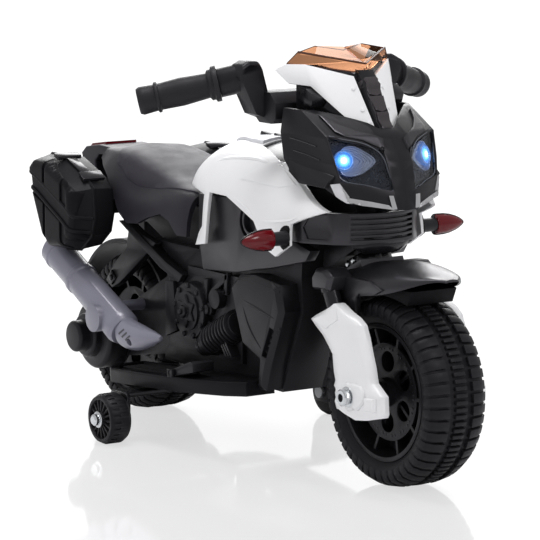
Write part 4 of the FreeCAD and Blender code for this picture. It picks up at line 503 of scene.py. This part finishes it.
def tyre(name, node, body, hub, radius):
    piece = Piece()
    side = [
        (79.2, 33), (86, 38.4), (radius - 17, 39.4), (radius - 11, 37.6), (radius - 6.5, 30),
        (radius - 4.6, 16), (radius - 4.8, 10), (radius - 4.6, 9.2),
    ]
    profile = [(r, -y) for r, y in side] + [(r, y) for r, y in reversed(side)]
    piece.turned(profile, at(hub, 0), INWARD, CASING_SIDES, loop=True)

    def spot(r, y, turn):
        x, z = around(hub, r, turn)
        return Vector((x, y, z))

    block = [
        (radius - 22, 39.2), (radius - 15.5, 40.0), (radius - 8.6, 38.2), (radius - 3.0, 29),
        (radius - 0.4, 16), (radius - 7, 15.6), (radius - 10, 27), (radius - 14, 34), (radius - 19, 36),
    ]
    width = 2 * math.pi / BLOCKS - BLOCK_GAP / radius
    for k in range(BLOCKS):
        start = 2 * math.pi * k / BLOCKS
        turns = [start + width * t / 2 for t in range(3)]
        for sign in (-1, 1):
            piece.skin([[spot(r, sign * y, turn) for r, y in block] for turn in turns])
    bar = [
        (radius - 5, -8.4), (radius - 0.6, -7.8), (radius - 0.2, 0), (radius - 0.6, 7.8), (radius - 5, 8.4),
    ]
    for k in range(BARS):
        start = 2 * math.pi * k / BARS
        piece.skin([[spot(r, y, turn) for r, y in bar] for turn in (start, start + BAR_WIDTH / radius)])
    obj = piece.build(name, tyre_black, body, "tyre_black", 0.7)
    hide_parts(node)


tyre("front_tread", "front_tyre", "front_wheel", FRONT_HUB, FRONT_RADIUS)
tyre("rear_tread", "rear_tyre", "rear_wheel", REAR_HUB, REAR_RADIUS)

RIVET_PAIRS, RIVET_CIRCLE = 18, 50
dots = Piece()
for pair in range(RIVET_PAIRS):
    for shift in (-0.02, 0.32):
        x, z = around(FRONT_HUB, RIVET_CIRCLE, 2 * math.pi * (pair + shift) / RIVET_PAIRS)
        dots.turned([(1.7, 0), (1.7, 0.7), (1.1, 0.9)], (x, -23.6, z), OUTWARD, 12)
dots.mirror().build("disc_rivets", black_gloss, "front_wheel", "black_plastic")

# Fork shields: bulged shell with a wing, toothed rear edge, axle boss and pad.
# The back and front edges are x at a height, the foot is the height of the lower edge at an x,
# and the bulge is how far out the shell lies from its back (0) to its front (1).
shield_back = [
    (86, 253), (92, 251), (98.7, 248.7), (104, 251), (109.2, 249), (113, 251), (117.3, 247.3), (123.6, 250.5),
    (134.6, 247.2), (153, 244.6), (160, 236), (171, 220.6), (178.7, 203), (185.5, 190), (191.8, 203),
    (206.4, 240.6), (211.8, 252),
]
shield_front = [
    (86, 341), (94.3, 343.3), (117.4, 341.4), (129.9, 322.5), (146.3, 318.3), (162.4, 312.1), (180, 305.9),
    (192.6, 299.7), (199.1, 288.7), (203.7, 274), (211.8, 256),
]
shield_foot = [
    (240, 90), (250, 90), (262, 92), (271, 90.5), (276, 88.5), (293, 84.6), (315, 87), (335, 92), (345, 94.3),
]
shield_bulge = [
    (0, 63), (0, 71), (0.03, 74), (0.1, 76), (0.25, 77), (0.5, 77.4), (0.75, 77), (0.9, 75.6), (0.97, 72.6),
    (1, 68.5), (1, 63),
]
SHIELD_LOW, FOOT_BLEND = 86, 14
WING_EDGE, WING_LEAN = 246, 0.13
INNER_WALL = 64
rings = []
for z in sorted({z for z, _ in shield_back + shield_front}):
    rear, fore = between(shield_back, z), between(shield_front, z)
    ring = []
    for u, out in shield_bulge:
        x = rear + (fore - rear) * u
        low = max(0.0, (SHIELD_LOW + FOOT_BLEND - z) / FOOT_BLEND) * (between(shield_foot, x) - SHIELD_LOW)
        lean = max(0.0, WING_EDGE - x) * WING_LEAN if out > INNER_WALL else 0.0
        ring.append(Vector((x, lean - out, z + low)))
    rings.append(ring)
shield = Piece()
shield.skin(rings)
boss = [around(FRONT_HUB, 16.5, math.radians(70 + 22 * k)) for k in range(12)]
shield.plate(boss + [(303, 97), (315, 108), (316, 119), (310, 126), (294, 127)], -72, -80.5, 2.0)
shield.plate([(316, 98.7), (334, 99.8), (334, 114.7), (316, 113.7)], -70, -79.6, 1.6)
shield.plate([(259, 206), (212, 189), (238, 181), (262, 194)], -70, -78.3, 1.0)
shields = shield.mirror().build("fork_shields", white, "steering", "white_plastic", 0.5)
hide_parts("fork_covers")
ends = Piece()
cap = [(9.6, -86), (9.6, -88), (8.2, -89.4), (4.8, -89.4), (4.4, -87.4)]
ends.turned(cap, at(FRONT_HUB, 0), INWARD, 32)
ends.mirror().build("axle_caps", zinc, "steering", "zinc_steel")
# Near-black plates at the bottom of the caps' holes: painted shade in the sockets
socket = Piece()
socket.turned([(4.4, -87.2), (4.4, -87.9), (3.2, -88)], at(FRONT_HUB, 0), INWARD, 6)
socket.mirror().build("axle_socket_shades", painted_shade_black, "steering", "black_plastic")

# Fork tubes, the fender's skirts, and a near-black inner liner that paints the shade under the fender
RAKE = math.radians(27)
AXIS = Vector((-math.sin(RAKE), 0, math.cos(RAKE)))
AHEAD = Vector((AXIS.z, 0, -AXIS.x))
HEAD = Vector((217.5, 0, 264))
legs = Piece()
leg = [(10, 4), (10, 124), (11.4, 125.5), (11.4, 138), (9.5, 142), (4, 144)]
legs.turned(leg, at(FRONT_HUB, -63), AXIS, 36)
legs.turned([(14, 47.5), (15, 48.5), (15, 68), (14, 69)], at(FRONT_HUB, 0), OUTWARD, 36)
tubes = legs.mirror().build("fork_tubes", black_paint, "steering", "black_steel", 0.4)
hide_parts("fork_legs")
skirt = Piece()
skirt.plate([
    (212, 224), (216, 234), (240, 240), (290, 240), (312, 232), (300, 226), (269, 223.1), (263, 218),
    (260.6, 197), (229.4, 203), (215, 201),
], -45, -53.4, 1.2)
skirt.plate([(205, 222), (203, 236), (211, 247), (232, 248), (244, 240), (238, 224)], -45, -76, 5)
skirt.mirror().build("fender_skirts", black_lit_copy, "steering", "black_plastic", 0.8)
LINER_START, LINER_TURN, LINER_STEPS = 66, 84, 28
LINER_INSIDE = 115.5
liner_outside = [(66, 134), (70, 131), (76, 126), (83, 121), (100, 119), (120, 119), (140, 118), (150, 117.5)]
liner_half = [(66, 32), (70, 34), (76, 38), (83, 43), (100, 45), (120, 45), (140, 44), (150, 43)]
rings = []
for step in range(LINER_STEPS + 1):
    turn = LINER_START + LINER_TURN * step / LINER_STEPS
    outside, half = between(liner_outside, turn), between(liner_half, turn)
    run = Vector((math.cos(math.radians(turn)), 0, math.sin(math.radians(turn))))
    corners = ((LINER_INSIDE, -half), (outside, -half), (outside, half), (LINER_INSIDE, half))
    rings.append([at(FRONT_HUB, 0) + run * r + Vector((0, y, 0)) for r, y in corners])
liner = Piece()
liner.skin(rings).build("fender_shade_liner", painted_shade_black, "steering", "black_plastic", 0.6)


# Neck under the chin with its block and bolts, and the underside of the chin
def on_neck(x, y, rise):
    return HEAD + AHEAD * x + AXIS * rise + Vector((0, y, 0))


neck = Piece()
neck.turned([(11, -15.5), (11, 180), (10, 183)], HEAD, AXIS, 32)
block = [(-26, -20), (-20, -26), (3, -24), (10, -14), (10, 14), (3, 24), (-20, 26), (-26, 20)]
block_rows = ((0.92, -16), (1, -14.5), (1, -6.6), (0.93, -5.2))
neck.skin([[on_neck(x * k, y * k, rise) for x, y in block] for k, rise in block_rows])
necks = neck.build("steering_neck", black_paint, "steering", "black_steel", 0.8)
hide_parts("steering_stem")
joint = Piece()
for x in (-17, -5):
    joint.bolt(on_neck(x, -25, -10.5), OUTWARD, 3.6, 3.0)
joint.mirror().build("neck_bolts", zinc, "steering", "zinc_steel", 0.2)
chin = Piece()
upper = [(236, -40), (247, -22), (250, 0), (247, 22), (236, 40)]
lower = [(238, -26), (244.5, -14), (246, 0), (244.5, 14), (238, 26)]
chin.skin([[Vector((x, y, z)) for x, y in row] for row, z in ((upper, 275), (upper, 270), (lower, 262.5))])
chin.build("chin_base", black_gloss, "chassis", "black_plastic", 0.8)

# Front cowl: score lines, brows and lower wings
cowl = surface("front_cowl")
lines = Piece()
lines.trail([(171.8, -82, 393.8), (195, -80, 391), (217.4, -77, 387.6)], cowl, INWARD, 0.9, 0.1, taper=False)
lines.trail([(181, -83, 380.3), (203, -80, 377), (224, -76, 372.6)], cowl, INWARD, 0.9, 0.1, taper=False)
lines.mirror().build("cowl_score_lines", black_gloss, "steering", "black_plastic")
BROW_WAY = Vector((-0.5, 0.42, -0.76)).normalized()
brows = Piece()
brows.drape([
    (202, -63.4, 420), (224, -53, 410.5), (241, -39, 403.5), (252, -24, 398), (258.5, -13, 394),
    (266, -16.5, 383), (261.5, -24, 387.5), (252, -37, 394), (242.5, -56, 399), (233, -62, 404),
    (220, -62.5, 411),
], cowl, BROW_WAY, 2.6, 2.0)
brows.mirror().build("cowl_brows", black_lit_copy, "steering", "black_plastic", 1.2, 30)
wing = Piece()
wing.slab([
    (176, -86, 370), (246, -71.5, 356), (243, -80, 349), (236, -78, 341), (198, -88, 344), (184, -93, 357),
], (0, 9, 0))
wing.mirror().build("cowl_lower_wings", black, "steering", "black_plastic", 1.2)

# Headlights: rim, floor, stepped dish, lit chip with rays of painted glint, and chrome trims. Depths are from
# the lens face.
LAMP = [Vector(p) for p in ((283, -15, 339), (268, -19, 385), (235, -74, 399), (253, -67, 350))]
FACE = (LAMP[1] - LAMP[0]).cross(LAMP[2] - LAMP[0]).normalized()
RIM_DEPTH, FLOOR_DEPTH, GLINT_DEPTH = -1.6, -15.2, -7.2
GLINT_RAYS, GLINT_TURN = 14, 0.2


def on_lamp(point, depth):
    point = Vector(point)
    return point + FACE * (depth - (point - LAMP[0]).dot(FACE))


lens_outline = [
    (235, -73.5, 399), (242.3, -58, 396.6), (251.9, -38.9, 392), (261.5, -26.7, 385.1), (268.2, -19.6, 375.3),
    (273, -16.6, 360.6), (282, -15.4, 339.5), (266, -40, 345.2), (251.4, -64.8, 352), (243, -69.6, 374),
]
rim = Piece()
rim.tube([on_lamp(p, RIM_DEPTH) for p in smooth_path(lens_outline, 4, closed=True)], 0.55, closed=True)
rim.mirror().build("lens_rims", lens_edge, "steering", "lamp_lens")
tub = Piece()
centre = sum(LAMP, Vector()) / 4
tub.slab([on_lamp(centre + (p - centre) * 0.97, FLOOR_DEPTH) for p in LAMP], -FACE * 1.6)
tub.mirror().build("lamp_floors", lamp_floor_painted_glow, "steering", "lamp_bowl")
dish_outline = [
    (244.4, -61.1, 384), (247, -51, 389.5), (254.1, -40.4, 386), (263.6, -28.1, 375.4), (264.5, -30.4, 368),
    (258.9, -47.1, 357.1), (250, -63.5, 359.5),
]
dish_steps = [
    (1.0, -15), (1.0, -6.8), (0.93, -7.4), (0.91, -9.4), (0.8, -8.8), (0.78, -10.6), (0.68, -10),
    (0.66, -11.6), (0.57, -11), (0.55, -12.6), (0.44, -12), (0.42, -13.4),
]
oval = smooth_path(dish_outline, 6, closed=True)
led = on_lamp((247.8, -59.2, 373.8), 0)
core = led + (on_lamp((258, -42, 372), 0) - led) * 0.3
dish = Piece()
dish.skin([[on_lamp(core + (p - core) * size, depth) for p in oval] for size, depth in dish_steps])
dish.turned([(12, -14), (12, -8), (10.6, -7), (9.4, -8), (9.2, -12)], led, FACE, 40)
dishes = dish.mirror().build("lamp_dishes", reflector_painted_glow, "steering", "lamp_bowl", 0.3)
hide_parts("headlight_bowls")
chip = Piece()
chip.turned([(8.8, -14), (8.2, -10.4), (6, -8), (3, -6.9), (0.4, -6.5)], led, FACE, 40)
# The rays are thin glowing slabs in a star round the chip: a painted glint
glint_centre = on_lamp(led, GLINT_DEPTH)
across = (LAMP[1] - LAMP[2]).normalized()
along = FACE.cross(across)
for k in range(GLINT_RAYS):
    turn = 2 * math.pi * k / GLINT_RAYS + GLINT_TURN
    run = across * math.cos(turn) + along * math.sin(turn)
    reach = 11 if k % 2 else 7.5
    flank = FACE.cross(run) * 0.35
    chip.slab([glint_centre + run * 2 + flank, glint_centre + run * reach, glint_centre + run * 2 - flank], FACE * 0.3)
chip.mirror().build("lamp_chips", lamp_chip, "steering", "lamp_bowl")
TRIM_WAY = Vector((-0.62, 0.78, -0.1)).normalized()
trim = Piece()
trim.drape([
    (240, -72.5, 346), (252, -67, 348), (260.5, -60, 333), (258, -63, 324), (248, -70, 331),
], cowl, TRIM_WAY, 2.4, 1.5)
trim.drape([
    (259, -61, 332), (273, -39, 327.5), (283.5, -22.5, 323.5), (287, -15.5, 317), (273, -37, 321.5),
    (258, -62, 325),
], cowl, TRIM_WAY, 2.4, 1.5)
trim.drape([
    (281.5, -20.5, 334), (284, -16, 334), (289, -15, 319), (286, -19, 318.5),
], cowl, TRIM_WAY, 2.6, 1.5)
trims = trim.mirror().build("lamp_trim_plates", chrome, "steering", "chrome_trim", 0.4)
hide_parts("lamp_trims")

# Screen: cheek screws, steps of the spine and dark edges of the amber sheet
facet = [Vector(p) for p in ((246, -11.4, 399), (203.5, -15.7, 463), (167, -58.3, 476))]
cheek_out = (facet[1] - facet[0]).cross(facet[2] - facet[0]).normalized()
cheek_out = cheek_out if cheek_out.x > 0 else -cheek_out
screws = Piece()
for place in ((209.1, -20.1, 449.3), (224.7, -18.2, 426.2), (234.6, -14.9, 412)):
    screws.bolt(place, cheek_out, 2.4, 1.3)
screws.mirror().build("cheek_screws", white, "steering", "white_plastic", 0.2)
spine = surface("screen_spine")
SPINE_WAY = Vector((-0.83, 0, -0.56))
SPINE_TOP, SPINE_FOOT = Vector((208, 0, 462)), Vector((254, 0, 396))
smoke = Piece()
for low, high, half in ((0.04, 0.3, 10.5), (0.34, 0.56, 9.5), (0.6, 0.94, 8.0)):
    near, far = SPINE_TOP.lerp(SPINE_FOOT, low), SPINE_TOP.lerp(SPINE_FOOT, high)
    tip = far + (far - near).normalized() * 3
    wide, narrow = Vector((0, half, 0)), Vector((0, half - 2, 0))
    smoke.drape([near - wide, near + wide, far + narrow, tip, far - narrow], spine, SPINE_WAY, 2.2, 1.0)
smoke.build("spine_steps", smoked, "steering", "black_plastic", 0.5)
edges = Piece()
edges.tube([(202.5, 0, 465.6), (147.5, -71, 476), (157, -61, 490), (205.5, 0, 477)], 0.9, 6)
edges.tube([(203.5, 0, 476.5), (157, -61, 489), (149.5, -33, 494.6), (159.5, 0, 488)], 0.8, 6)
edges.mirror().build("screen_edges", amber_edge, "steering", "amber_screen")

# Tank: front panels, brows, and near-black discs at the seats of the indicators that paint the shade round them
tank = surface("tank_cover")
panel = Piece()
panel.drape([
    (63, -78.5, 335.4), (83, -71.9, 347.6), (102, -60.8, 358), (113, -51.5, 361.4), (176, -75, 339),
    (147.4, -81.3, 333.8), (107.3, -80.8, 334.6),
], tank, INWARD, 1.0, 1.0)
panel.mirror().build("tank_front_panels", white, "chassis", "white_plastic", 0.4)
brow = Piece()
brow.trail([
    (-13.2, -64.5, 345.9), (2.5, -62.1, 351), (33.9, -61, 355.4), (67.1, -61.5, 357.2), (91.9, -63.7, 356),
    (105.1, -65.4, 354.5),
], tank, INWARD, 3.6, -1.9)
brow.trail([(46.4, -83.3, 314.3), (86.2, -88, 304.1), (113.6, -91.9, 291.3)], tank, INWARD, 2.4, -1.3)
brow.trail([
    (113.6, -91.9, 292), (140, -93, 294), (168.8, -93.8, 297), (192.7, -92.5, 302), (207.5, -88.8, 312),
], tank, INWARD, 2.4, -1.4)
brow.mirror().build("tank_brows", white, "chassis", "white_plastic")
seats = Piece()
shade_disc_ring = [at(around(INDICATOR, 14.5, k * math.pi / 12), -100) for k in range(24)]
seats.drape(shade_disc_ring, tank, INWARD, 0.7, 0.8)
seats.mirror().build("indicator_seat_shades", painted_shade_black, "chassis", "black_plastic")

# Indicators: red face in front, black shell with a lip behind. The bullet is its size along its reach.
BULLET_BASE, BULLET_STEPS = -115.4, 16
bullet = [(0, 1.0), (0.06, 1.02), (0.3, 1.0), (0.5, 0.9), (0.7, 0.7), (0.85, 0.48), (0.95, 0.26), (1.0, 0.1)]


def half_bullet(deep, high, start, stop, reach, ahead=0.0):
    turns = [math.radians(start + (stop - start) * n / BULLET_STEPS) for n in range(BULLET_STEPS + 1)]
    rings = []
    for t, size in bullet:
        y = BULLET_BASE - reach * t
        ring = [(deep * size * math.cos(a), high * size * math.sin(a)) for a in turns]
        rings.append([Vector((INDICATOR[0] + x, y, INDICATOR[1] + z)) + Vector((ahead, 0, 0)) for x, z in ring])
    return rings


glass = Piece()
glass.skin(half_bullet(8.8, 11.6, -88, 88, 41.5))
glass_obj = glass.mirror().build("indicator_glass", red, "chassis", "red_lens", 0.4)
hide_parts("indicator_lenses")
shell = Piece()
shell.skin(half_bullet(9.6, 12.6, 91, 269, 42))
shell.skin(half_bullet(0.9, 12.6, 91, 269, 42, 1.2))
shell.mirror().build("indicator_shells", black_gloss, "chassis", "black_plastic", 0.4)

# Seat: raised grained pad
SEAT_LEVEL = 330
pad_side = [
    (-277, -8), (-272, -28), (-264, -50), (-252, -62), (-216, -68.5), (-184, -69.5), (-134, -69), (-81, -63.5),
    (-52, -55),
]
pad_plan = pad_side + [(x, -y) for x, y in reversed(pad_side)]
pad = Piece()
pad.drape([(x, y, SEAT_LEVEL) for x, y in pad_plan], surface("seat"), DOWN, 1.3, 1.0, 6.0)
pad.build("seat_pad", pad_black, "chassis", "seat_black", 0.5)

# Panniers: raised panels, two sloping bands, the seam and latches
CASE_SIDE, SEAM_SIDE = -145, -115.2
right_case = surface("pannier_right")
panels = [
    [(-331, 314), (-293, 296.5), (-293, 328), (-318, 329)],
    [(-287, 294), (-249, 277), (-249, 308), (-287, 325)],
    [(-234, 270.5), (-222, 263), (-222, 291), (-234, 300)],
    [(-326, 285), (-292, 273), (-292, 222), (-303, 233)],
    [(-286, 270), (-250, 254), (-250, 219), (-286, 217)],
    [(-238, 248), (-228, 243), (-224, 237), (-238, 224)],
]
case = Piece()
for outline in panels:
    case.drape([at(p, CASE_SIDE) for p in outline], right_case, INWARD, 2.2, 1.0)
case.mirror().build("pannier_panels", black_shaded_copy, "chassis", "black_plastic", 0.7)
bands = [
    [(-333, -120, 312), (-311, CASE_SIDE, 304), (-272, CASE_SIDE, 287.5), (-232.5, CASE_SIDE, 269),
     (-222, -135, 261), (-217, -118, 258)],
    [(-330, -120, 292), (-310, CASE_SIDE, 285), (-279, CASE_SIDE, 270), (-248.5, CASE_SIDE, 255.7),
     (-228, -138, 244), (-219, -118, 240)],
]
seam = [
    (-338, 318), (-322, 331), (-292, 331), (-236, 310), (-220, 296), (-216, 262), (-224, 236), (-250, 216),
    (-284, 213), (-304, 228), (-331, 284),
]
band = Piece()
for points in bands:
    band.trail(points, right_case, INWARD, 2.6, 0.2, 8, False)
band.tube([at(p, SEAM_SIDE) for p in seam], 2.0, closed=True)
band.mirror().build("pannier_bands", black_shaded_copy, "chassis", "black_plastic")
latch = Piece()
latch.plate([(-292, 330.5), (-281, 327), (-281, 331.5), (-292, 335)], -130, -96, 0.8)
latch.plate([(-241, 312), (-229, 304), (-227, 308), (-240, 316)], -124, -93, 0.8)
latch.plate([(-279, 326.4), (-241, 312), (-241, 315), (-279, 329.4)], -119, -106, 0.6)
latch.mirror().build("pannier_latches", black_gloss, "chassis", "black_plastic", 0.5)

# Exhausts: dark sheets on the tip that paint the shade in its slots
PIPE_SIDE = -125
pipe = surface("exhaust_right")
slots = Piece()
for k in range(3):
    x, z = -139 + 7.2 * k, 126 - 3.0 * k
    outline = [(x, z), (x + 2.2, z - 1.4), (x + 11, z + 5.6), (x + 9, z + 7)]
    slots.drape([at(p, PIPE_SIDE) for p in outline], pipe, INWARD, 0.35, 0.8, 2.0)
slots.mirror().build("exhaust_slots", silver_recess_shade, "chassis", "silver_plastic")

# Engine: clutch bolts and star, barrel with fins, stubs and braces
CLUTCH_BOLTS, BOLT_CIRCLE = 9, 31
STAR_POINTS, STAR_INNER, STAR_OUTER = 6, 13, 21
FINS, FIN_START, FIN_STEP = 9, 31, 7.2
motor_side = Piece()
for k in range(CLUTCH_BOLTS):
    turn = 2 * math.pi * (k + 0.3) / CLUTCH_BOLTS
    motor_side.bolt(at(around(CLUTCH, BOLT_CIRCLE, turn), -73.6), OUTWARD, 3.4, 3.2, 16)
star = [
    around(CLUTCH, STAR_OUTER if k % 2 else STAR_INNER, math.pi * k / STAR_POINTS)
    for k in range(2 * STAR_POINTS)
]
motor_side.plate(star, -76, -80, 1.2)
motor_side.turned([(8, 0), (8, 4), (6.6, 5), (4, 5.4)], at(CLUTCH, -80), OUTWARD, 6)
motor_side.turned([(3.6, 0), (3.6, 3), (2.4, 4)], at(CLUTCH, -85), OUTWARD, 20)
barrel = [(6, 0), (9, 1), (9, 6), (13, 7), (13, 12), (10, 13), (10, 18), (16, 19), (16, 25), (13, 26), (13, 30)]
for k in range(FINS):
    h = FIN_START + k * FIN_STEP
    barrel += [(20, h), (20, h + 2.8), (15, h + 3.6), (15, h + 6.4)]
motor_side.turned(barrel, (-50, -63, 115), (0.9, 0, 0.435), 36)
motor_side.turned([(8, 0), (8, 8), (6, 9), (6, 12), (3, 13)], (-27, -60, 166), OUTWARD, 24)
motor_side.turned([(5, 0), (5, 7), (3, 8)], (-28, -60, 147), OUTWARD, 20)
motor_side.plate([(-40, 172), (-32, 172), (-28, 203), (-36, 203)], -60, -68, 1.2)
motor_side.plate([(-24, 190), (14, 216), (15, 209), (-10, 191)], -60, -67, 1.0)
motor_side.plate([(15, 216), (12, 188), (6, 188), (8, 213)], -60, -67, 1.0)
motor_side.plate([(-24, 190), (12, 193), (12, 188), (-20, 186)], -60, -67, 1.0)
motor_side.mirror().build("engine_details", black, "chassis", "black_plastic", 0.5)

# Radiator shrouds: louvre rungs, creases and window
shroud = surface("radiator_shrouds")
louvre = Piece()
for t in (0.2, 0.42, 0.64, 0.86):
    x, z = 120 + 18 * t, 138 + 32 * t
    rung = [(x - 2, z - 1.4), (x + 11, z + 0.6), (x + 12, z + 3.8), (x - 0.6, z + 1.8)]
    louvre.plate(rung, -70, -80.5, 0.8)
louvre.trail([(69, -84, 194), (110, -80, 186), (151, -70.5, 177.3)], shroud, INWARD, 2.0, -0.9)
louvre.trail([(71, -84, 192), (90, -84, 160), (125, -83.5, 131)], shroud, INWARD, 1.8, -0.8)
louvre.mirror().build("shroud_rungs", black, "chassis", "black_plastic", 0.4)
window = Piece()
window.drape([(127, -78, 221), (148, -73, 215.5), (147, -78, 209.5)], shroud, INWARD, 0.6, 0.8)
window.mirror().build("shroud_windows", black_gloss, "chassis", "black_plastic")

# Frame: bolts on diamond plates
frame_bolts = Piece()
frame_bolts.plate([(-264, 176), (-255, 186), (-246, 176), (-255, 166)], -66, -69.5, 1.2)
frame_bolts.bolt((-255, -69, 176), OUTWARD, 4, 2.4)
frame_bolts.mirror().build("frame_bolts", black_gloss, "chassis", "black_plastic", 0.4)

# Studio world: full white to the camera and through clear pieces, dimmer in reflections and as light
WHITE = (1.0, 1.0, 1.0, 1.0)
WORLD_LIGHT, WORLD_SEEN, MIRRORED_SHARE = 0.48, 1.0, 0.25
world = bpy.data.worlds.new("studio")
scene.world = world
world.use_nodes = True
tree = world.node_tree
back = tree.nodes["Background"]
back.inputs["Color"].default_value = WHITE
path = add(tree, "ShaderNodeLightPath")
seen = add(tree, "ShaderNodeMath", operation="MAXIMUM")
tree.links.new(path.outputs["Is Camera Ray"], seen.inputs[0])
tree.links.new(path.outputs["Is Transmission Ray"], seen.inputs[1])
dim = add(tree, "ShaderNodeMath", operation="MULTIPLY")
dim.inputs[1].default_value = MIRRORED_SHARE
tree.links.new(path.outputs["Is Glossy Ray"], dim.inputs[0])
every = add(tree, "ShaderNodeMath", operation="MAXIMUM")
tree.links.new(seen.outputs[0], every.inputs[0])
tree.links.new(dim.outputs[0], every.inputs[1])
strength = spread(tree, every.outputs[0], WORLD_LIGHT, WORLD_SEEN, UNIT_SPAN)
tree.links.new(strength, back.inputs["Strength"])

# Floor: plain paint for light, and for the camera a bright sheet with a weak mirror that whitens far away
FLOOR_HALF = 30
FLOOR_NEAR, FLOOR_FAR, FLOOR_SPAN = 1.56, 1.88, (0.6, 1.8)
SHADOW_SHARE, MIRROR_SHARE = 0.3, 0.4
floor_paint, tree, shader = new_material("floor_paint")
shader.inputs["Roughness"].default_value = 0.5
tint(tree, shader, 3, 2.0, (0.9, 0.9, 0.91), (0.92, 0.92, 0.93))
place = add(tree, "ShaderNodeTexCoord")
far = add(tree, "ShaderNodeVectorMath", operation="LENGTH")
tree.links.new(place.outputs["Object"], far.inputs[0])
glow = add(tree, "ShaderNodeEmission")
strength = spread(tree, far.outputs["Value"], FLOOR_NEAR, FLOOR_FAR, FLOOR_SPAN)
tree.links.new(strength, glow.inputs["Strength"])
mirror = add(tree, "ShaderNodeBsdfGlossy", Roughness=0.06)
mirror.inputs["Color"].default_value = WHITE
path = add(tree, "ShaderNodeLightPath")


def mixed(first, second):
    node = add(tree, "ShaderNodeMixShader")
    tree.links.new(first.outputs[0], node.inputs[1])
    tree.links.new(second.outputs[0], node.inputs[2])
    return node


pale = mixed(glow, shader)
pale.inputs[0].default_value = SHADOW_SHARE
wet = mixed(pale, mirror)
wet.inputs[0].default_value = MIRROR_SHARE
mix = mixed(shader, wet)
tree.links.new(path.outputs["Is Camera Ray"], mix.inputs[0])
tree.links.new(mix.outputs[0], tree.nodes["Material Output"].inputs["Surface"])
corners = [(x * FLOOR_HALF, y * FLOOR_HALF, 0) for x, y in ((-1, -1), (1, -1), (1, 1), (-1, 1))]
floor_mesh = bpy.data.meshes.new("floor")
floor_mesh.from_pydata(corners, [], [(0, 1, 2, 3)])
floor_mesh.update()
floor = bpy.data.objects.new("floor", floor_mesh)
floor_mesh.materials.append(floor_paint)
scene.collection.objects.link(floor)


# Lamps and camera
def facing(place, target):
    return (Vector(target) - Vector(place)).to_track_quat("-Z", "Y").to_euler()


def lamp(name, place, target, size, watts, glossy=True):
    data = bpy.data.lights.new(name, "AREA")
    data.shape = "RECTANGLE"
    data.size, data.size_y = size
    data.energy = watts
    obj = bpy.data.objects.new(name, data)
    obj.location = place
    obj.visible_glossy = glossy
    obj.rotation_euler = facing(place, target)
    scene.collection.objects.link(obj)


lamp("top_box", (0.0, -0.2, 2.2), (0, 0, 0.2), (1.0, 0.6), 18)
lamp("front_box", (2.3, 0.2, 1.9), (0.1, 0, 0.25), (0.5, 0.9), 12)
lamp("left_box", (-0.6, -2.2, 1.3), (0, 0, 0.3), (1.2, 1.2), 15, False)
lamp("right_box", (2.4, 0.9, 1.0), (0.1, 0, 0.25), (1.0, 1.4), 5, False)
lamp("back_box", (-2.2, 1.5, 1.5), (0, 0, 0.3), (2.2, 1.2), 38)

CAMERA_PLACE, CAMERA_TARGET = (3.0741, -2.0258, 0.7728), (0.006, 0.0, 0.2126)
camera_data = bpy.data.cameras.new("camera")
camera_data.sensor_width = 36
camera_data.lens = 204.75
camera_data.clip_end = 80
camera = bpy.data.objects.new("camera", camera_data)
camera.location = CAMERA_PLACE
camera.rotation_euler = facing(CAMERA_PLACE, CAMERA_TARGET)
scene.collection.objects.link(camera)
scene.camera = camera
scene.view_settings.view_transform = "Standard"
